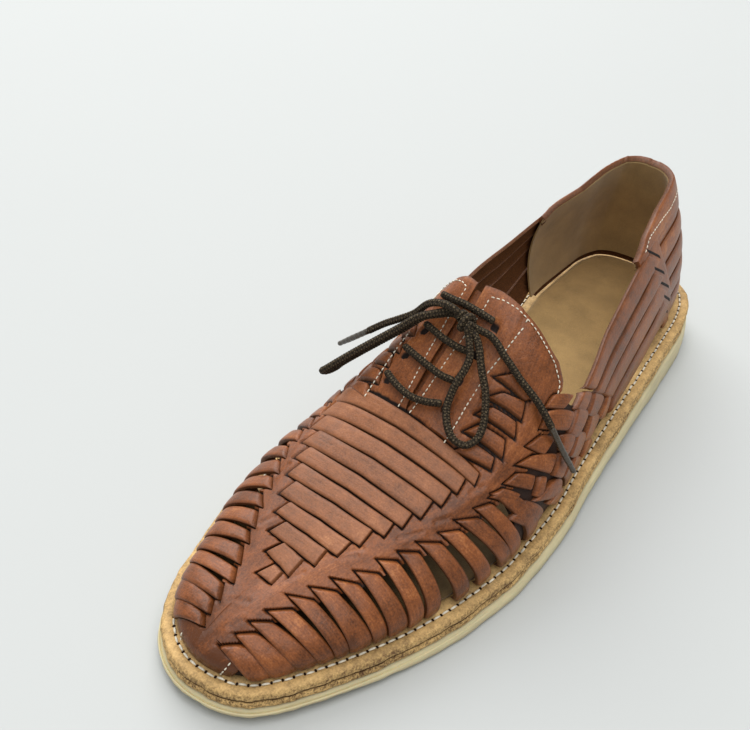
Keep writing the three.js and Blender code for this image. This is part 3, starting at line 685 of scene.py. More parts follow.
def leather_finish(name, colour, gloss=0.36, spread=1.15):
    """Waxed smooth leather: cloudy brown, fine grain and pores, drawn streaks along each piece,
    borders darkened partly as burnished leather and partly as painted shade, near black painted shade
    in cuts and grooves, and a rough fibrous flesh side."""
    finish = Finish(name, 0.32)
    tone, dark, cut, edge = (finish.attribute(key) for key in ("tone", "dark", "cut", "edge"))
    clouds, grain = finish.noise(38, detail=4), finish.noise(1500, detail=2)
    patches = finish.noise(210, detail=4, roughness=0.6)
    streaks = finish.noise(1, finish.place((160, 1300, 1), "UV"))
    pores = finish.cells(2300).above(0.12, 0.34)
    value = ((clouds.swing(1.3) + patches.swing(1.1) + streaks.swing(0.75) + grain.swing(0.95)) * spread
             + tone + 0.5)
    face = finish.node("ShaderNodeValToRGB", dict(stops=[
        (0.0, scaled(colour, 0.42)), (0.35, scaled(colour, 0.78)), (0.6, colour),
        (0.85, scaled(colour, 1.3, 1.42, 1.5)), (1.0, scaled(colour, 1.62, 1.95, 2.2))]), {0: value})
    # Darker borders and strip ends: partly burnished leather, partly painted shade of the gaps and slits
    face = finish.mix((edge * (0.55 + patches.swing(0.9))).clamp(), face, scaled(colour, 0.34))
    face = finish.mix((1 - pores) * 0.25, face, scaled(colour, 0.3))
    fibre = finish.noise(2600)
    flesh = finish.mix(fibre.above(0.3, 0.7), scaled(colour, 0.16), scaled(colour, 0.75, 0.9, 0.9))
    face = finish.mix(cut.above(0.1, 0.6), face, flesh)
    # Near black painted shade in the slots, grooves and recesses
    face = finish.mix(dark.above(0.15, 0.85), face, scaled(colour, 0.035))
    creases = finish.cells(330, finish.place((1.0, 1.25, 1.0)), "DISTANCE_TO_EDGE").above(0.0, 0.07)
    roughness = (gloss + patches.swing(0.22) + grain.swing(0.16) + cut * 0.4 + dark * 0.4
                 + clouds.swing(0.12))
    height = (grain * 0.3 + pores * 0.35 + creases * 0.16 + patches * 0.9 + streaks * 0.35
              + fibre * cut * 0.9)
    return finish.done(face, roughness, height, 0.00022, 0.75)


def suede_finish(name, colour):
    """Napped leather inside the shoe: short fibres lying in soft patches, darkened towards the toe as
    painted shade under the closed vamp.
    """
    finish = Finish(name, 0.2, Sheen_Weight=0.25)
    nap, fibre = finish.noise(90, detail=5), finish.noise(3200)
    value = nap.swing(0.9) + fibre.swing(1.2) + 0.5
    base = finish.mix(value.clamp(), scaled(colour, 0.55), scaled(colour, 1.3))
    forwards = finish.node("ShaderNodeSeparateXYZ", None, {0: finish.place()})
    # Painted shade: the footbed darkens towards the toe, under the closed vamp
    darkening = (forwards + nap.swing(0.03)).above(0.006, 0.03) * (0.72 + nap.swing(0.9))
    base = finish.mix(darkening.clamp(), base, scaled(colour, 0.1))
    return finish.done(base, fibre * 0.2 + 0.75, fibre + nap * 0.5, 0.0003, 0.7)


def sole_leather_finish(name, colour, dirt_and_gap_shade):
    """Vegetable-tanned sole leather: smooth and stained above, with a granular cut edge, and painted shade
    on the faces that meet the next layer.
    """
    finish = Finish(name, 0.3)
    edge = finish.attribute("edge")
    stains, mottle = finish.noise(45, detail=5, roughness=0.65), finish.noise(330, detail=4)
    grains = finish.noise(1300, finish.place((1, 1, 0.6)), roughness=0.7)
    specks = finish.cells(800, finish.place((0.6, 0.6, 1.5))).above(0.1, 0.4)
    value = stains.swing(1.2) + mottle.swing(1.0) + grains.swing(0.9 + edge.clamp() * 2.0) + 0.56
    base = finish.node("ShaderNodeValToRGB", dict(stops=[
        (0.0, dirt_and_gap_shade), (0.32, scaled(colour, 0.62)), (0.62, colour),
        (1.0, scaled(colour, 1.35, 1.42, 1.5))]), {0: value})
    base = finish.mix((1 - specks) * edge.clamp() * 0.7, base, dirt_and_gap_shade)
    # Painted shade in the gap between the layers of the sole
    gap_shade = edge.above(1.1, 1.6)
    base = finish.mix((gap_shade * (0.35 + grains * 0.9)).clamp(), base, scaled(dirt_and_gap_shade, 0.5))
    height = grains * (0.25 + edge * 1.2) + specks * edge * 0.7 + mottle * 0.5
    return finish.done(base, 0.62 + grains.swing(0.3) + edge * 0.2, height, 0.0004, 0.8)


def rubber_finish(name, colour):
    """Cream gum rubber: matt, faintly scuffed, with a moulded bloom, darker along its lower edge, and
    darkened as painted shade on its top face under the midsole.
    """
    finish = Finish(name, 0.35, Subsurface_Weight=0.08, Subsurface_Scale=0.004)
    bloom, fine = finish.noise(60, detail=4), finish.noise(1400)
    scuffs = finish.noise(1, finish.place((120, 120, 900)), detail=4)
    value = bloom.swing(0.8) + fine.swing(0.5) + scuffs.swing(0.9) + 0.55
    base = finish.mix(value.clamp(), scaled(colour, 0.72), scaled(colour, 1.1))
    # Darker along the lower edge, and painted shade on the top face under the midsole
    darkening = finish.attribute("edge") * (fine * 0.9 + 0.1)
    base = finish.mix(darkening.clamp(), base, (0.30, 0.25, 0.16))
    return finish.done(base, 0.55 + fine.swing(0.3) + bloom.swing(0.2), fine * 0.5 + scuffs * 0.8,
                       0.00025, 0.6)


def lace_finish(name, colour):
    """Round braid: two sets of yarn cross as diamonds, told from the lengths along and round it,
    with painted shade between the yarns and a painted highlight on each.
    """
    finish = Finish(name, 0.2)
    run = finish.node("ShaderNodeSeparateXYZ", None, {0: finish.place(None, "UV")})
    turn = Field(finish, run.socket.node.outputs[1])
    wind, around = run * (BRAID_PITCH * 1000), turn * (2 * math.pi * BRAID_WAVES)
    one, other = (wind + around).sine(), (wind - around).sine()
    yarn = one * other
    over = yarn.above(-0.35, 0.6)
    fuzz = finish.noise(3500, detail=2)
    light = (yarn * one).above(0.3, 0.8) * fuzz.above(0.42, 0.6)
    # Painted shade between the yarns, where the braid dips
    base = finish.mix((over * 0.8 + fuzz.swing(0.8)).clamp(), scaled(colour, 0.16), colour)
    # Painted highlight on top of the yarns
    base = finish.mix(light * 0.5, base, scaled(colour, 3.6, 3.9, 3.8))
    return finish.done(base, 0.72 + fuzz * 0.2, over + fuzz * 0.3, 0.00035, 0.9)


def thread_finish(name, colour):
    """Waxed thread: a fine twist and rubbed, greyer spots."""
    finish = Finish(name, 0.3)
    fine = finish.noise(5200, detail=1)
    base = finish.mix(finish.noise(400, detail=2).above(0.35, 0.75), colour, scaled(colour, 0.6))
    return finish.done(base, 0.55 + fine * 0.3, fine, 0.00012, 0.6)


def pit_finish(name):
    """The shadowed bottom of a cut or a needle hole."""
    finish = Finish(name, 0.1)
    grit = finish.noise(2500)
    return finish.done(finish.mix(grit, (0.012, 0.006, 0.004), (0.03, 0.016, 0.01)), 0.8 + grit * 0.2)


def aglet_finish(name, colour):
    """Shrunk film over the lace's end: dark and glossy, with a faint ripple."""
    finish = Finish(name, 0.6)
    ripple = finish.noise(900, detail=2)
    base = finish.mix(ripple, scaled(colour, 0.5), scaled(colour, 1.4))
    return finish.done(base, 0.16 + ripple * 0.22, ripple, 0.0002, 0.5)


def size(name, description, default, unit="LENGTH"):
    return bpy.props.FloatProperty(name=name, description=description, default=default, unit=unit)


def colour(name, description, default):
    return bpy.props.FloatVectorProperty(name=name, description=description, default=default,
                                         subtype="COLOR", size=3)


class HuaracheSizes(bpy.types.PropertyGroup):
    """Sizes that a user of the scene would change."""
    lace: size("Lace", "Diameter of the lace", 0.0028)
    aglet: size("Aglet", "Diameter of the lace's tips", 0.0023)
    strip: size("Strip", "Thickness of a woven strip", 0.0014)
    stitch: size("Stitch", "Pitch of the welt's stitches", 0.0036)
    lens: size("Lens", "Focal length of the camera", 47.635, "CAMERA")


class HuaracheColours(bpy.types.PropertyGroup):
    """Colours that a user of the scene would change."""
    leather: colour("Leather", "Waxed brown leather", (0.235, 0.071, 0.019))
    # The vamp colour is a lighter, greyer copy of the leather: partly the strips' own tone, partly painted
    # sheen of the light from above
    vamp: colour("Vamp", "Paler leather across the vamp", (0.275, 0.100, 0.038))
    lining: colour("Lining", "Golden suede lining", (0.45, 0.30, 0.13))
    sole: colour("Sole leather", "Layers of the sole", (0.60, 0.38, 0.15))
    rubber: colour("Rubber", "Cream outsole", (0.70, 0.61, 0.36))
    thread: colour("Thread", "Stitches", (0.85, 0.79, 0.64))
    lace: colour("Lace", "Braided lace", (0.085, 0.060, 0.034))
    floor: colour("Floor", "Plain pale floor", (0.505, 0.52, 0.51))


def material(name, make, *arguments):
    """A finish that several pieces share is made once."""
    return bpy.data.materials.get(name) or make(name, *arguments)


def leather(context, with_painted_sheen=False):
    colours = context.scene.huarache_colours
    # Vamp strips get a lighter copy of the leather with less contrast: partly their own tone, partly
    # painted sheen
    if with_painted_sheen:
        return material("vamp_strip_leather", leather_finish, tuple(colours.vamp), 0.42, 0.8)
    return material("waxed_leather", leather_finish, tuple(colours.leather))


def strip_thickness(context):
    return context.scene.huarache_sizes.strip * 1000


class HUARACHE_OT_stage(bpy.types.Operator):
    """Camera, soft light and a plain pale floor"""
    bl_idname = "huarache.stage"
    bl_label = "Stage"

    def execute(self, context):
        scene = context.scene
        # The camera stands where the photograph was taken from
        right, up, back = (Vector(v) for v in (
            (-0.63499, 0.77107, 0.04735), (-0.47371, -0.43706, 0.76458), (0.61024, 0.46307, 0.64279)))
        camera = bpy.data.objects.new("camera", bpy.data.cameras.new("camera"))
        camera.data.lens = scene.huarache_sizes.lens
        camera.data.sensor_width = 36
        turn = Matrix((right, up, back)).transposed().to_4x4()
        where = place((407.72, 145.10, 288.66))
        camera.matrix_world = Matrix.Translation(where) @ turn
        scene.collection.objects.link(camera)
        scene.camera = camera

        aim = Vector((0, 0, 0.03))
        for name, at, size, power in (("window", (-1.7, -2.4, 2.5), 3.4, 135),
                                      ("ceiling", (0.3, 0.3, 3.6), 3.6, 104)):
            lamp = bpy.data.lights.new(name, "AREA")
            lamp.shape, lamp.size, lamp.energy = "SQUARE", size, power
            light = bpy.data.objects.new(name, lamp)
            light.location = at
            light.rotation_euler = (aim - Vector(at)).to_track_quat("-Z", "Y").to_euler()
            scene.collection.objects.link(light)
        world = scene.world or bpy.data.worlds.new("daylight")
        scene.world = world
        world.use_nodes = True
        background = world.node_tree.nodes["Background"]
        background.inputs["Color"].default_value = (0.98, 0.99, 1.0, 1)
        background.inputs["Strength"].default_value = 0.5
        scene.view_settings.view_transform = "Standard"

        finish = Finish("floor", 0.2, Roughness=0.7)
        tint = tuple(scene.huarache_colours.floor)
        mesh = bpy.data.meshes.new("floor")
        mesh.from_pydata([(-4, -4, 0), (4, -4, 0), (4, 4, 0), (-4, 4, 0)], [], [(0, 1, 2, 3)])
        mesh.materials.append(finish.done(finish.mix(finish.noise(6), tint, scaled(tint, 0.985))))
        floor = bpy.data.objects.new("floor", mesh)
        scene.collection.objects.link(floor)
        return {"FINISHED"}


def curve_through(points, spacing):
    """Points at even spacing along a smooth curve through the given ones, and its length: between
    two points a cubic whose ends follow the square roots of the chords, so that it neither loops nor
    overshoots."""
    p = np.array(points, float)
    p = np.concatenate([[2 * p[0] - p[1]], p, [2 * p[-1] - p[-2]]])
    knot = np.r_[0, np.cumsum(np.sqrt(np.linalg.norm(np.diff(p, axis=0), axis=1)))]
    t = np.linspace(knot[1], knot[-2], 40 * len(points))
    i = np.clip(np.searchsorted(knot, t, "right") - 1, 1, len(p) - 3)
    k0, k1, k2, k3 = (knot[i + d][:, None] for d in (-1, 0, 1, 2))
    t = t[:, None]

    def blend(a, b, ka, kb):
        return (a * (kb - t) + b * (t - ka)) / (kb - ka)
    a1, a2, a3 = (blend(p[i + d - 1], p[i + d], *k) for d, k in
                  ((0, (k0, k1)), (1, (k1, k2)), (2, (k2, k3))))
    fine = blend(blend(a1, a2, k0, k2), blend(a2, a3, k1, k3), k1, k2)
    run = lengths(fine)
    return points_at(np.linspace(0, run[-1], max(8, int(run[-1] / spacing))), run, fine), run[-1]


def frames_along(line):
    """Direction of a line and two directions square to it that turn as little as they can. The
    turning is shared out from a fixed start, one short step at a time."""
    run = unit(np.gradient(line, axis=0))
    side = np.empty_like(run)
    first = np.cross(run[0], (0.0, 0.0, 1.0))
    if np.linalg.norm(first) < 0.1:
        first = np.cross(run[0], (0.0, 1.0, 0.0))
    side[0] = first / np.linalg.norm(first)
    for i in range(1, len(line)):
        v = side[i - 1] - run[i] * (side[i - 1] @ run[i])
        side[i] = v / np.linalg.norm(v)
    return run, side, np.cross(run, side)


def tube(name, line, radius, finish, weave=0.0):
    """Round cord along a line: rings of the given radii square to it, closed by round ends. weave
    lifts the crossings of the braid in step with its shader."""
    run, side, other = frames_along(line)
    length = lengths(line)
    sides = 16
    turn = np.arange(sides) / sides
    angle = 2 * math.pi * turn[None]
    wind = length[:, None] * BRAID_PITCH
    braid = np.sin(wind + BRAID_WAVES * angle) * np.sin(wind - BRAID_WAVES * angle)
    radii = np.broadcast_to(radius, (len(line),))[:, None] * (1 + weave * (braid - 0.5))
    rings = (line[:, None] + radii[..., None] * (np.cos(angle)[..., None] * side[:, None]
                                                 + np.sin(angle)[..., None] * other[:, None]))
    caps = [[rings[end] + (line[end] - rings[end]) * (1 - wide) + sign * out * radii[end].mean() * run[end]
             for out, wide in ((0.35, 0.92), (0.55, 0.6), (0.6, 0.05))] for end, sign in ((0, -1), (-1, 1))]
    rings = np.concatenate([caps[0][::-1], rings, caps[1]])
    length = np.r_[[0] * 3, length, [length[-1]] * 3]
    ids = np.arange(len(rings) * sides).reshape(-1, sides)
    beside = np.roll(ids, -1, 1)
    quads = [np.stack([ids[:-1], beside[:-1], beside[1:], ids[1:]], -1).reshape(-1, 4)]
    i = np.arange(sides // 2 - 1)
    for ring, turned in ((ids[0], -1), (ids[-1], 1)):
        quads.append(np.stack([ring[i], ring[i + 1], ring[-2 - i], ring[-1 - i]], -1)[:, ::turned])
    uv = np.stack(np.meshgrid(length / 1000, turn, indexing="ij"), -1).reshape(-1, 2)
    return mesh_piece(name, rings.reshape(-1, 3), np.concatenate(quads), uv, {}, finish, 60)


def knot_strands():
    """Short strands that gather the loops and ends into the knot: from just inside a length's end,
    on along its own direction, round into the middle of the knot."""
    middle = np.array(KNOT["middle"])
    for name, points in FREE_LENGTHS.items():
        line, _ = curve_through(points, 0.32)
        for end, inner in ((line[0], line[3]), (line[-1], line[-4]))[:2 if "loop" in name else 1]:
            out = (end - inner) / np.linalg.norm(end - inner)
            half = np.linalg.norm(middle - end) / 2
            yield [inner, end, end + out * half * 0.45 + (middle - end) * 0.25,
                   middle + (end - middle) * 0.25, middle]


def knot_line():
    """The wound lace: a round path of two turns that moves on from side to side."""
    up = np.array((0.66, 0, 0.75)) / math.hypot(0.66, 0.75)
    across = np.array((0.0, 1, 0))
    out = np.cross(up, across)
    turn = np.arange(8 * KNOT["turns"] + 1)[:, None] * math.pi / 4
    return (np.array(KNOT["middle"]) + across * KNOT["pitch"] * (turn / (2 * math.pi) - KNOT["turns"] / 2)
            + KNOT["radius"] * (np.cos(turn) * up + np.sin(turn) * out))


class HUARACHE_OT_lace(bpy.types.Operator):
    """Lace bars, knot, loops and ends with their tips"""
    bl_idname = "huarache.lace"
    bl_label = "Lace"

    def execute(self, context):
        sizes, colours = context.scene.huarache_sizes, context.scene.huarache_colours
        braid = material("lace_braid", lace_finish, tuple(colours.lace))
        film = material("aglet_film", aglet_finish, scaled(colours.lace, 0.6))
        radius = sizes.lace * 500

        def braided(name, line, width=radius):
            return tube(name, line, width, braid, 0.1)
        for name, points in {**BARS, "lace_knot": knot_line()}.items():
            dress(braided(name + "_braid", curve_through(points, LACE_STEP)[0]), name)
        for i, points in enumerate(knot_strands()):
            dress(braided("knot_strand_%d" % (i + 1), curve_through(points, 0.32)[0], radius * 0.99))
        tips = {}
        for name, points in TIPS.items():
            line, _ = curve_through(points, 0.5)
            share = np.linspace(0, 1, len(line))
            width = sizes.aglet * 500 * (1 - 0.16 * smooth((share - 0.55) / 0.45)
                                         + 0.03 * np.sin(share * 40))
            tips[name[6:]] = tube(name + "_film", line, width, film)
            dress(tips[name[6:]], name)
        for name, points in FREE_LENGTHS.items():
            line, length = curve_through(points, LACE_STEP)
            cord = braided(name + "_braid", line)
            dress(cord, name)
            loop = "loop" in name
            path = place(curve_through(points, 1.6)[0])
            place(line[0])
            length / 1000
        return {"FINISHED"}


def sole_layer(name, rings, finish, rough, start=lambda a: 0):
    """Layer of the sole: rings that follow the rim, each with its inset past a start, the height it
    is told from, its lift and how much it wavers, closed by a lid and a base of cross rows. The rim
    wavers by a few sines of its own angle."""
    half = SOLE_POINTS // 2
    k = np.arange(SOLE_POINTS)
    outer = k <= half
    a = math.pi * np.where(outer, k, SOLE_POINTS - k) / half
    side = np.where(outer, 1.0, -1.0)
    turn = 2 * math.pi * k / SOLE_POINTS
    waver = sum(rough * amount * np.sin(turn * number + phase) for amount, number, phase in
                ((0.5, 23, 0.3), (0.4, 41, 1.7), (0.3, 67, 4.1), (0.25, 103, 2.2)))
    points = np.concatenate([
        np.concatenate([rim(a, side, start(a) + inset + waver * sharp)[0],
                        (level(a) + lift)[:, None]], 1) for inset, level, lift, sharp in rings])
    edge = np.repeat([float(ring[3]) for ring in rings], SOLE_POINTS)
    ids = np.arange(len(points)).reshape(-1, SOLE_POINTS)
    beside = np.roll(ids, -1, 1)
    faces = [np.stack([beside[:-1], beside[1:], ids[1:], ids[:-1]], -1).reshape(-1, 4)]
    i = np.arange(1, half - 1)
    for ring, turned in ((ids[0], 1), (ids[-1], -1)):
        lid = np.stack([ring[i], ring[i + 1], ring[-i - 1], ring[-i]], -1)
        tips = [ring[[0, 1, -1, 0]], ring[[half - 1, half, half + 1, half - 1]]]
        faces.append(np.concatenate([lid, tips])[:, ::turned])
    return mesh_piece(name, points, np.concatenate(faces), points[:, :2] / 1000, dict(edge=edge),
                      finish, 40)


def welt_base(a):
    return WELT_TOP(a) - WELT


def midsole_top(a):
    return welt_base(a) - GAP


def midsole_base(a):
    return midsole_top(a) - MIDSOLE


def outsole_top(a):
    return midsole_base(a) - GAP


def rubber_side(share):
    """Level between the underside and the top of the rubber."""
    return lambda a: UNDERSIDE(a) * (1 - share) + outsole_top(a) * share


def insole_base(a):
    return WELT_TOP(a) + GAP


# Rings of each layer: inset, level, lift over it, share of the waver (and darkness of the edge: grain,
# stains and specks on the leather's cut edge, a darker lower edge on the rubber, painted shade where a
# layer meets the next)
OUTSOLE_RINGS = [
    (2.2, UNDERSIDE, 0, 0), (-0.5, UNDERSIDE, 0, 0.15), (-1.15, UNDERSIDE, 0.35, 1),
    (-RUBBER_REACH, UNDERSIDE, 1.3, 0.8), (-1.5, rubber_side(0.35), 1, 0.1),
    (-1.1, rubber_side(0.7), 0.2, 0.05), (-0.7, outsole_top, -1.2, 0),
    (-0.35, outsole_top, -0.35, 0.1), (0.2, outsole_top, 0, 0.9), (2.5, outsole_top, 0, 0.9),
]
MIDSOLE_RINGS = [
    (3, midsole_base, 0, 1), (0.75, midsole_base, 0, 1), (0.15, midsole_base, 0.35, 1),
    (0, midsole_base, 1.1, 1), (0.1, midsole_base, 2.2, 1), (0.35, midsole_top, -0.5, 1),
    (0.8, midsole_top, -0.1, 1.8), (1.3, midsole_top, 0, 1.8), (3, midsole_top, 0, 1),
]
WELT_RINGS = [
    (3, welt_base, 0, 1), (1.3, welt_base, 0, 1.8), (0.7, welt_base, 0.2, 1.8),
    (0.2, welt_base, 0.6, 1), (0.02, welt_base, 1.3, 1), (0.1, WELT_TOP, -1, 0.8),
    (0.55, WELT_TOP, -0.25, 0.5), (1.3, WELT_TOP, 0, 0.12), (3.2, WELT_TOP, 0, 0),
    (3.75, WELT_TOP, -0.3, 0.1), (4.3, WELT_TOP, -0.45, 0.2), (4.85, WELT_TOP, -0.3, 0.1),
    (5.5, WELT_TOP, 0, 0), (9, WELT_TOP, 0, 0),
]
INSOLE_RINGS = [
    (0.5, insole_base, 0, 0.2), (0, insole_base, 0.4, 0.4), (0, insole_base, INSOLE - 0.5, 0.4),
    (0.6, insole_base, INSOLE - 0.05, 0.2), (2, insole_base, INSOLE, 0), (8, insole_base, INSOLE - 0.3, 0),
]


class HUARACHE_OT_sole(bpy.types.Operator):
    """Rubber outsole, midsole and welt with their cut edges"""
    bl_idname = "huarache.sole"
    bl_label = "Sole"

    def execute(self, context):
        colours = context.scene.huarache_colours
        rubber = material("gum_rubber", rubber_finish, tuple(colours.rubber))
        # The last colour of each is for stains and specks and, halved, for painted shade in the gaps
        # between layers
        cut = material("sole_leather_edge", sole_leather_finish, tuple(colours.sole), (0.13, 0.06, 0.025))
        top = material("welt_leather_face", sole_leather_finish, scaled(colours.sole, 0.92),
                       (0.16, 0.08, 0.035))
        dress(sole_layer("outsole_rubber", OUTSOLE_RINGS, rubber, 0.22), "outsole")
        dress(sole_layer("midsole_layer", MIDSOLE_RINGS, cut, 0.3), "midsole")
        dress(sole_layer("welt_layer", WELT_RINGS, top, 0.3), "welt")
        return {"FINISHED"}


class HUARACHE_OT_insole(bpy.types.Operator):
    """Insole inside the shoe"""
    bl_idname = "huarache.insole"
    bl_label = "Insole"

    def execute(self, context):
        inner = material("insole_face", suede_finish, scaled(context.scene.huarache_colours.sole, 0.75))
        dress(sole_layer("insole_pad", INSOLE_RINGS, inner, 0.2,
                         lambda a: INSET(a) + 2.7), "insole")
        return {"FINISHED"}


def slot_line(rows):
    """Height of the band's lower border by distance, a little below the slots of the side strips."""
    back = np.array([row[1] for row in rows])[::-1]
    x = np.r_[150, 158, 165, 175, 186, back[:, 0], 295.3, 295.9, 302]
    end = back[-1, 1] + 0.06
    u = np.r_[0.575, 0.60, 0.615, 0.62, 0.625, back[:, 1] + 0.035, end, 0.975, 0.975]
    return x, u


# Small opening beside the toe cap, sunk into the band and filled with painted shade
TOE_HOLE = [(296.4, .70), (295.7, .70), (294.8, 1.0), (299.0, 1.0)]
# The fold of the band between the vamp strips and the side strips
BAND_RIDGE = {
    1: [(300, .08), (285, .13), (272, .12), (262, .17), (245, .31), (230, .38), (212, .44), (198, .48),
        (180, .51), (165, .50)],
    -1: [(300, -.03), (280, -.06), (262, -.18), (245, -.31), (230, -.40), (212, -.48), (198, -.53)],
}
# Seam of the flaps over the last vamp strip
THROAT_SEAM = [(197, -.25), (196, .37)]
# Creases across the leather where it bends: start, end, depth
CREASES = [
    ((243, .27), (248, .22), 0.3), ((246, .28), (250, .235), 0.25), ((203, .44), (198, .47), 0.25),
    ((196, .30), (192, .40), 0.3), ((232, .35), (225, .41), 0.25), ((219, .42), (214, .46), 0.25),
    ((268, .10), (262, .14), 0.2), ((281, .04), (284, -.03), 0.2), ((176, .33), (172, .42), 0.25),
    ((252, -.22), (256, -.26), 0.25), ((231, -.38), (236, -.41), 0.25), ((290, .10), (286, .13), 0.2),
]


def band_grid():
    """Distances and heights over the band, from the inner border over the slit to the outer one,
    in closer lines at the strips and the toe. In front of the throat the back border follows the
    flaps. Gives the place of the back border too, and which squares lie outside the slit."""
    x = np.r_[np.linspace(152, 170, 16)[:-1], np.linspace(170, 276, 200)[:-1],
              np.linspace(276, 295.2, 30)[:-1], np.linspace(295.2, 300.5, 12)[:-1],
              np.linspace(300.5, 302, 6)][:, None]
    v = np.linspace(0, 1, 81)[1:]
    outer, inner = (np.interp(x, *slot_line(rows)) for rows in (SIDE_STRIPS, INNER_SLOTS))
    half = np.interp(x, (150, 160, 192, 195), (0.016, 0.0135, 0.008, 0.002))
    middle = np.interp(x, (160, 175, 190, 200), (0.012, 0.0, -0.006, 0.0))
    high, low = middle + half, middle - half
    u = np.concatenate([(low - (inner + low) * v)[:, ::-1], low, high, high + (outer - high) * v], 1)
    start = np.interp(np.abs(u), (0, .1, .34, .44, .50, .56, .58, .62),
                      (155.5, 154, 153, 153, 152.3, 154, 157, 158))
    keep = np.ones((u.shape[0] - 1, u.shape[1] - 1), bool)
    keep[:, len(v)] = x[:-1, 0] > 195
    return x + (start - 152) * np.clip((178 - x) / 26, 0, 1), u, start, keep


def sunk_at(p):
    """1 where the band is sunk under a strip or round an eyelet, easing to 0 beside it."""
    windows = [(strip, 0.55, 0.35, bend_of(strip)) for strip in VAMP_ROW[:-1]]
    windows.append((VAMP_ROW[-1], 0.1, 0.35, bend_of(VAMP_ROW[-1])))
    for side, rows, hole in ((1, SIDE_STRIPS, [TOE_HOLE]), (-1, INNER_STRIPS, [])):
        for strips, room, ease in ((rows, 0.4, 0.4), (TABS, 0.5, 0.9), (BAND_STRIPS, 0.4, 0.6),
                                   (hole, 0.0, 0.4)):
            windows += [(mirrored(strip, side), room, ease, 0.0) for strip in strips]
    depths = [1 - outside(p, strip, 0.15, room, bend) / ease for strip, room, ease, bend in windows]
    for x, outer, inner in EYELETS:
        depths += [1 - (np.linalg.norm(p - flat(x, u), axis=-1) - 1.5) / 0.5 for u in (outer, -inner)]
    return smooth(np.max(depths, axis=0))


class HUARACHE_OT_band(bpy.types.Operator):
    """Vamp leather with the flaps, its slots, slit, eyelets and soft ridges"""
    bl_idname = "huarache.band"
    bl_label = "Vamp Band"

    def execute(self, context):
        x, u, start, keep = band_grid()
        p = flat(x, u)
        sunk = sunk_at(p)
        fold = np.max([np.exp(-(near_line(p, line) / 3.4) ** 2) for line in BAND_RIDGE.values()], axis=0)
        waves = np.sin(p[..., 0] * 0.23 + 1.3 * np.sin(p[..., 1] * 0.17))
        lift = 0.55 * fold + 0.16 * waves * (1 - sunk)
        for begin, end, depth in CREASES:
            away = near_line(p, [begin, end])
            lift = (lift - depth * np.exp(-(away / 0.7) ** 2)
                    + 0.5 * depth * np.exp(-((away - 1.7) / 0.9) ** 2))
        seam = near_line(p, THROAT_SEAM)
        lift = (lift - 0.25 * np.exp(-(seam / 0.35) ** 2)
                + 0.35 * smooth((seam - 0.1) / 0.5) * (x < 196.5) * smooth((0.24 - np.abs(u)) / 0.02))
        border = np.minimum(np.abs(x - start), 3) / 3
        lift = lift - SLOT_DEPTH * sunk + settle(x, u) - 0.35 * smooth(1 - border / 0.35)
        # Near black painted shade in the sunk windows under the strips, in the toe opening and round the
        # eyelets, with a darker line along the throat seam
        groove = np.clip(sunk + 0.5 * np.exp(-(seam / 0.4) ** 2), 0, 1)
        # Darker borders: burnished leather along the back border, painted shade round the sunk windows
        edge = np.maximum(smooth(1 - border / 0.4), 0.4 * smooth(1 - (1 - sunk) / 0.6))
        # Tone of the band: darker towards the toe and on the outer side, partly burnished leather and
        # partly painted shade, and lighter towards the throat as painted light
        burnish_and_painted_light = (-0.26 * smooth((x - 264) / 28) + 0.08 * smooth((190 - x) / 12)
                   - 0.2 * smooth((u - 0.14) / 0.16) * smooth((x - 190) / 12))
        piece = Leather()
        piece.sheet(x, u, lift, 1.5, burnish_and_painted_light, groove, edge, keep)
        piece.put("vamp_band", leather(context), "upper")
        return {"FINISHED"}


def varied(index, amount=0.1):
    """A steady but uneven shade for the pieces of a row."""
    return amount * math.sin(index * 2.399 + 0.7)


class HUARACHE_OT_vamp_strips(bpy.types.Operator):
    """Flat strips woven across the vamp"""
    bl_idname = "huarache.vamp_strips"
    bl_label = "Vamp Strips"

    def execute(self, context):
        piece = Leather()
        for i, strip in enumerate(VAMP_ROW):
            piece.ribbon(strip, 0.3, strip_thickness(context), (0.9, 0.9), 1.4, 0.06,
                         tone=varied(i, 0.06), steps=26 if i < 2 else 50, bend=bend_of(strip))
        piece.put("vamp_strips", leather(context, True))
        return {"FINISHED"}


class HUARACHE_OT_side_strips(bpy.types.Operator):
    """Strips that run from the band's slots down to the welt, on both sides"""
    bl_idname = "huarache.side_strips"
    bl_label = "Side Strips"

    def execute(self, context):
        for name, side, rows, close in (("side_strips_lateral", 1, SIDE_STRIPS, 9),
                                        ("side_strips_medial", -1, INNER_STRIPS, 11)):
            piece = Leather()
            for i, strip in enumerate(rows):
                # Side strips are toned a little darker than the vamp strips, as painted shade
                piece.ribbon(mirrored(strip, side), 0.45 + 0.1 * math.sin(i * 1.9),
                             strip_thickness(context), (1.8, 1.4), 1.5, 0.2,
                             tilt=0.7 if i < close else 0.15, tone=varied(i, 0.13) - 0.05, steps=34,
                             bow=0.26 if i < 3 else 0.08 if i < close else 0.02, taper=0.25)
            piece.put(name, leather(context))
        return {"FINISHED"}


class HUARACHE_OT_tabs(bpy.types.Operator):
    """Tabs woven from the flaps into the band"""
    bl_idname = "huarache.tabs"
    bl_label = "Flap Tabs"

    def execute(self, context):
        piece = Leather()
        for side in (1, -1):
            for i, strip in enumerate(TABS):
                piece.ribbon(mirrored(strip, side), 0.5, strip_thickness(context), (1.6, 1.3), 1.4,
                             0.22, tilt=0.2, tone=varied(i + 3, 0.08))
        piece.put("flap_tabs", leather(context))
        return {"FINISHED"}


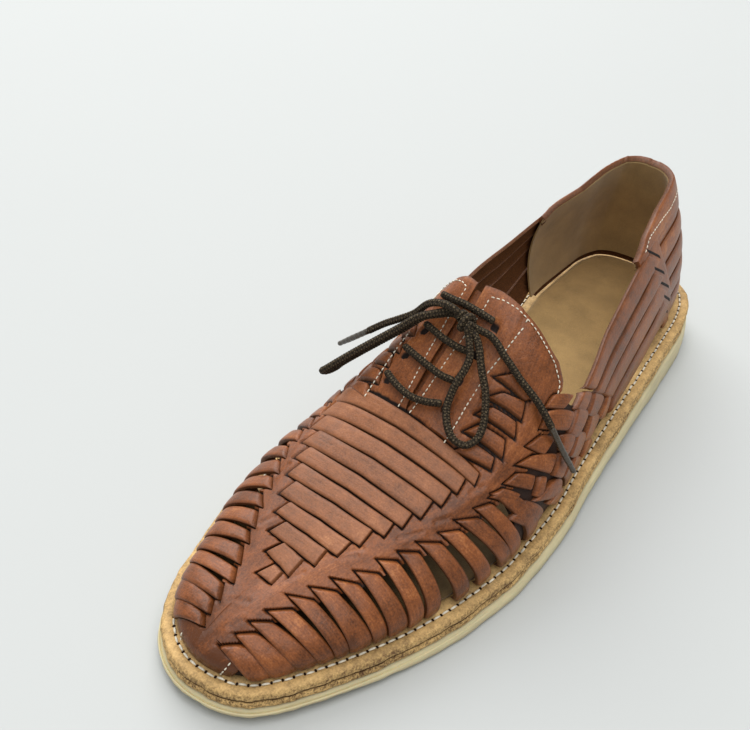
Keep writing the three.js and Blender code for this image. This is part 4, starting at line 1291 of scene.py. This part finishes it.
class HUARACHE_OT_plait(bpy.types.Operator):
    """Plait at the waist, over an underlayer darkened as painted shade"""
    bl_idname = "huarache.plait"
    bl_label = "Waist Plait"

    def execute(self, context):
        thick = strip_thickness(context)
        x, t = np.linspace(108, 194, 60)[:, None], np.linspace(0, 1, 20)
        u = np.interp(x, *PLAIT_TOP) * (1 - t) + 0.995 * t
        for name, side in (("waist_plait_lateral", 1), ("waist_plait_medial", -1)):
            piece = Leather()
            # Underlayer, sunk and darkened as painted shade, seen through the gaps of the plait
            piece.sheet(x, side * u, -1.3, 1.0, -0.3, 0.7)
            for i, strip in enumerate(BAND_STRIPS):
                piece.ribbon(mirrored(strip, side), 0.55, thick, (1.5, 1.6), 1.4, 0.25,
                             tone=varied(i + 5, 0.12), steps=18, bow=0.2)
            for i, cell in enumerate(PLAIT):
                piece.ribbon(mirrored(cell, side), 0.35 + 0.25 * (i % 2), thick, (2.0, 2.0), 1.4, 0.35,
                             tone=varied(i + 9, 0.12), steps=18, bow=0.18)
            piece.put(name, leather(context))
        return {"FINISHED"}


def round_heel(reach, count):
    """Places round the heel, outer side first, even in station so that the back is round, with the
    side of each and the height on the last at which it reaches the topline."""
    a = np.linspace(station(reach), -station(reach), count)
    x, side = along_at(a), np.where(a >= 0, 1.0, -1.0)
    u = np.linspace(0.3, 0.99, 300)
    p = last(x[:, None], side[:, None] * u)
    over = p[..., 2] > np.interp(p[..., 0], TOPLINE[:, 0], TOPLINE[:, 1])
    return x[:, None], side[:, None], u[np.clip(over.sum(1), 0, len(u) - 1)][:, None]


# How far the counter, and the collar and lining, reach forwards
HEEL_REACH, COLLAR_REACH = 66.0, 72.0


class HUARACHE_OT_heel(bpy.types.Operator):
    """Heel counter with its bands, stays, folded collar and lining"""
    bl_idname = "huarache.heel"
    bl_label = "Heel"

    def execute(self, context):
        thick = strip_thickness(context)
        piece = Leather()
        x, side, top = round_heel(HEEL_REACH, 90)
        share = np.linspace(0, 1, 34)
        # Counter under the bands, sunk and darkened a little as painted shade between them
        piece.sheet(x, side * ((top + 0.01) * (1 - share) + 0.99 * share), -0.6, 1.2, -0.1, 0.25)

        # Bands round the back, closer together towards the stays
        x, side, _ = round_heel(58, 80)
        t = np.array([0, .05, .13, .3, .5, .7, .87, .95, 1])
        border = np.abs(2 * t - 1)
        lift = 0.45 + 0.3 * (1 - border ** 2) - 0.4 * smooth((border - 0.75) / 0.25)
        for i, (high, low) in enumerate(HEEL_BANDS):
            u = (high * (1 - t) + low * t) + 0.02 * smooth(x / 58) * (0.8 - high)
            piece.sheet(x, side * u, lift, thick, varied(i + 2, 0.08), 0.0, smooth((border - 0.7) / 0.3))

        # Collar: a folded edge that rolls over the topline and runs out in front
        x, side, top = round_heel(COLLAR_REACH, 110)
        down = np.array([0.0, .004, .012, .03, .055, .085, .098, .106, .11])
        lift = 0.9 * np.array([0.1, .6, .9, 1, 1, 1, .9, .55, .1]) - 0.9 * smooth((x - 64) / 8)
        piece.sheet(x, side * (top + down * np.interp(x, (0, 45, COLLAR_REACH), (0.85, .6, .25))),
                    lift, 2.5, 0.05, 0.0, np.abs(np.linspace(-1, 1, 9)) ** 6)

        # Stays that the straps pass through, with their slots as near black patches of painted shade
        for side in (1, -1):
            piece.band_between(*(mirrored(line, side) for line in STAY), 0.75, thick, 0.1, 0.03,
                               (0.5, 0), paired=True)
            for (fx, fu), (bx, bu) in STAY_SLOTS:
                slot = [(fx + 0.5, fu - .012), (bx + 0.5, bu - .012), (bx, bu), (fx, fu)]
                piece.ribbon(mirrored(slot, side), 1.0, 0.4, (0, 0), 0, 0.0, tone=-0.6, steps=8, dark=1.0)
        piece.put("heel_counter", leather(context))

        lining = Leather()
        x, side, top = round_heel(COLLAR_REACH, 90)
        share = np.linspace(0, 1, 26)
        lining.sheet(x, side * ((top + 0.004) * (1 - share) + 0.97 * share), -1.9, 0.8)
        colour = tuple(context.scene.huarache_colours.lining)
        lining.put("heel_lining", material("suede_lining", suede_finish, colour))
        return {"FINISHED"}


class HUARACHE_OT_heel_straps(bpy.types.Operator):
    """Straps from the stays to the plait, on both sides"""
    bl_idname = "huarache.heel_straps"
    bl_label = "Heel Straps"

    def execute(self, context):
        for name, side in (("heel_straps_lateral", 1), ("heel_straps_medial", -1)):
            piece = Leather()
            for i, lines in enumerate(HEEL_STRAPS):
                piece.band_between(*(mirrored(line, side) for line in lines), 0.9 + 0.12 * (i % 2),
                                   strip_thickness(context), 0.12, varied(i + 1, 0.07), (1.4, 1.5))
            piece.put(name, leather(context))
        return {"FINISHED"}


class HUARACHE_OT_tongue(bpy.types.Operator):
    """Tongue under the slit"""
    bl_idname = "huarache.tongue"
    bl_label = "Tongue"

    def execute(self, context):
        piece = Leather()
        piece.ribbon([(199, -.14), (199, .14), (156, .20), (156, -.20)], -2.6, strip_thickness(context),
                     (0, 0), 0, 0.3, tone=-0.12, steps=40)
        piece.put("tongue", leather(context))
        return {"FINISHED"}


def beads(name, at, run, up, size, finish, slot):
    """Short round stitches: each is a capsule of rings of six corners along its run, sized by
    length, width and height, whose ends sink in."""
    length, width, height = size
    s = np.array([-1, -.8, -.35, .35, .8, 1])
    wide = np.array([.25, .72, 1, 1, .72, .25])
    angle = 2 * math.pi * np.arange(6) / 6
    at, run, up = (part[:, None, None] for part in (at, run, up))
    side = np.cross(run, up)
    points = (at + run * (s * length / 2)[:, None, None]
              + side * (wide[:, None] * np.cos(angle) * width / 2)[..., None]
              + up * (wide[:, None] * np.sin(angle) * height / 2)[..., None]
              + up * (-0.35 * height * np.abs(s) ** 3)[:, None, None])
    ids = np.arange(36).reshape(6, 6)
    beside = np.roll(ids, -1, 1)
    sides = np.stack([ids[1:], beside[1:], beside[:-1], ids[:-1]], -1).reshape(-1, 4)
    lids = [[1, 4, 5, 0], [2, 3, 4, 1], [35, 34, 31, 30], [34, 33, 32, 31]]
    quads = np.concatenate([sides, lids]) + 36 * np.arange(len(at))[:, None, None]
    uv = np.tile(np.stack(np.meshgrid(s, angle, indexing="ij"), -1).reshape(-1, 2), (len(at), 1))
    dress(mesh_piece(name, points.reshape(-1, 3), quads.reshape(-1, 4), uv, {}, finish, 180))


def row_on_leather(line, pitch, lift):
    """Middles, directions and normals of stitches at even pitch along a broken line on the last."""
    line = np.array(line, float)
    fine = np.linspace(0, len(line) - 1, 60 * len(line))
    a, u = (np.interp(fine, np.arange(len(line)), k) for k in (station(line[:, 0]), line[:, 1]))
    x = along_at(a)
    p = last(x, u, lift)
    run = lengths(p)
    even = np.arange(pitch / 2, run[-1], pitch)
    ahead = unit(points_at(even + 0.4, run, p) - points_at(even - 0.4, run, p))
    x, u = np.interp(even, run, x), np.interp(even, run, u)
    up = last(x, u, lift + 1) - last(x, u, lift - 1)
    return points_at(even, run, p), ahead, unit(up - ahead * np.sum(up * ahead, 1, keepdims=True))


# Inset of the welt's seam, and rows of stitches on the leather by distance and height
WELT_SEAM = 4.3
FLAP_ROWS = [
    [(197.5, .19), (185, .19), (174, .20), (165, .23), (157, .26)],
    [(196.5, -.255), (186, -.27), (170, -.30), (156, -.33)],
    [(196, .010), (175, .034), (161, .064), (157.5, .066)],
    [(196, -.034), (184, -.042), (175, -.05), (158, -.052)],
    [(157.5, .066), (156.2, .12), (155.2, .20), (155, .30), (155.2, .40), (155, .48), (156.6, .545),
     (160, .56)],
    [(158, -.052), (156.4, -.12), (155.4, -.20), (155, -.30), (155.4, -.40), (155.2, -.48), (157, -.55)],
    [(156.5, .255), (154.4, .262)],
]
TOE_ROWS = [
    [(296.3, .467), (297.2, .51), (298.1, .57), (298.9, .656), (299.7, .797), (300.2, .96)],
    [(298.7, -.462), (299.3, -.513), (299.8, -.602), (300.2, -.75), (300.4, -.93)],
]


class HUARACHE_OT_stitches(bpy.types.Operator):
    """Stitches of the welt, flaps, toe cap and collar"""
    bl_idname = "huarache.stitches"
    bl_label = "Stitches"

    def execute(self, context):
        scene = context.scene
        thread = material("waxed_thread", thread_finish, tuple(scene.huarache_colours.thread))
        pit = material("needle_hole", pit_finish)

        # Round the welt, half a pitch apart from the needle holes
        a = np.linspace(0, math.pi, 1600)
        path = np.concatenate([rim(a, 1, WELT_SEAM)[0], rim(a[::-1], -1, WELT_SEAM)[0][1:]])
        height = np.r_[WELT_TOP(a), WELT_TOP(a[::-1])[1:]] - 0.12
        path = np.concatenate([path, height[:, None]], 1)
        run = lengths(path)
        count = int(run[-1] / (scene.huarache_sizes.stitch * 1000))
        pitch = run[-1] / count

        def along(even):
            at, ahead = (points_at((even + d) % run[-1], run, path) for d in (0, 0.5))
            ahead = unit(ahead - at)
            return at, ahead, unit(np.array((0.0, 0, 1)) - ahead * ahead[:, 2:])
        even = pitch * (np.arange(count) + 0.5)
        waver = 0.22 * np.sin(even * 0.9) * np.sin(even * 0.13)
        at, ahead, up = along(even)
        at = at + np.cross(ahead, up) * waver[:, None]
        beads("welt_stitches", at, ahead, up, (2.75, 0.85, 0.62), thread, "welt_leather")
        at, ahead, up = along(even + pitch / 2)
        beads("welt_needle_holes", at - 0.12 * up, np.cross(ahead, up), up, (1.3, 0.8, 0.3), pit,
              "welt_leather")

        rows = [row_on_leather(line, 1.9, 0.42) for line in FLAP_ROWS]
        rows += [row_on_leather(line, 2.2, 0.3) for line in TOE_ROWS]
        beads("flap_stitches", *(np.concatenate(part) for part in zip(*rows)), (1.35, 0.5, 0.42),
              thread, "upper_leather")
        x, side, top = round_heel(HEEL_REACH, 70)
        u = side * (top + np.interp(x, (0, 30, 55, HEEL_REACH), (0.05, 0.045, 0.016, 0.014)))
        rows = [row_on_leather(np.c_[x, u][side[:, 0] == s], 2.3, 1.0) for s in (1, -1)]
        beads("collar_stitches", *(np.concatenate(part) for part in zip(*rows)), (1.6, 0.5, 0.42),
              thread, "upper_leather")
        return {"FINISHED"}


OPERATORS = (
    HUARACHE_OT_stage, HUARACHE_OT_lace, HUARACHE_OT_sole, HUARACHE_OT_insole, HUARACHE_OT_band,
    HUARACHE_OT_vamp_strips, HUARACHE_OT_side_strips, HUARACHE_OT_tabs, HUARACHE_OT_plait,
    HUARACHE_OT_heel, HUARACHE_OT_heel_straps, HUARACHE_OT_tongue, HUARACHE_OT_stitches,
)


class HUARACHE_PT_panel(bpy.types.Panel):
    """Lists the steps that build the shoe"""
    bl_idname = "HUARACHE_PT_panel"
    bl_label = "Huarache Shoe"
    bl_space_type = "VIEW_3D"
    bl_region_type = "UI"
    bl_category = "Huarache"

    def draw(self, context):
        for group in (context.scene.huarache_sizes, context.scene.huarache_colours):
            for name in group.__annotations__:
                self.layout.prop(group, name)
        for operator in OPERATORS:
            self.layout.operator(operator.bl_idname)


CLASSES = (HuaracheSizes, HuaracheColours) + OPERATORS + (HUARACHE_PT_panel,)


def register():
    for item in CLASSES:
        bpy.utils.register_class(item)
    bpy.types.Scene.huarache_sizes = bpy.props.PointerProperty(type=HuaracheSizes)
    bpy.types.Scene.huarache_colours = bpy.props.PointerProperty(type=HuaracheColours)


def unregister():
    del bpy.types.Scene.huarache_colours
    del bpy.types.Scene.huarache_sizes
    for item in reversed(CLASSES):
        bpy.utils.unregister_class(item)


def main():
    register()
    for operator in OPERATORS:
        group, name = operator.bl_idname.split(".")
        getattr(getattr(bpy.ops, group), name)()
    bpy.context.view_layer.update()


if __name__ == "__main__":
    main()
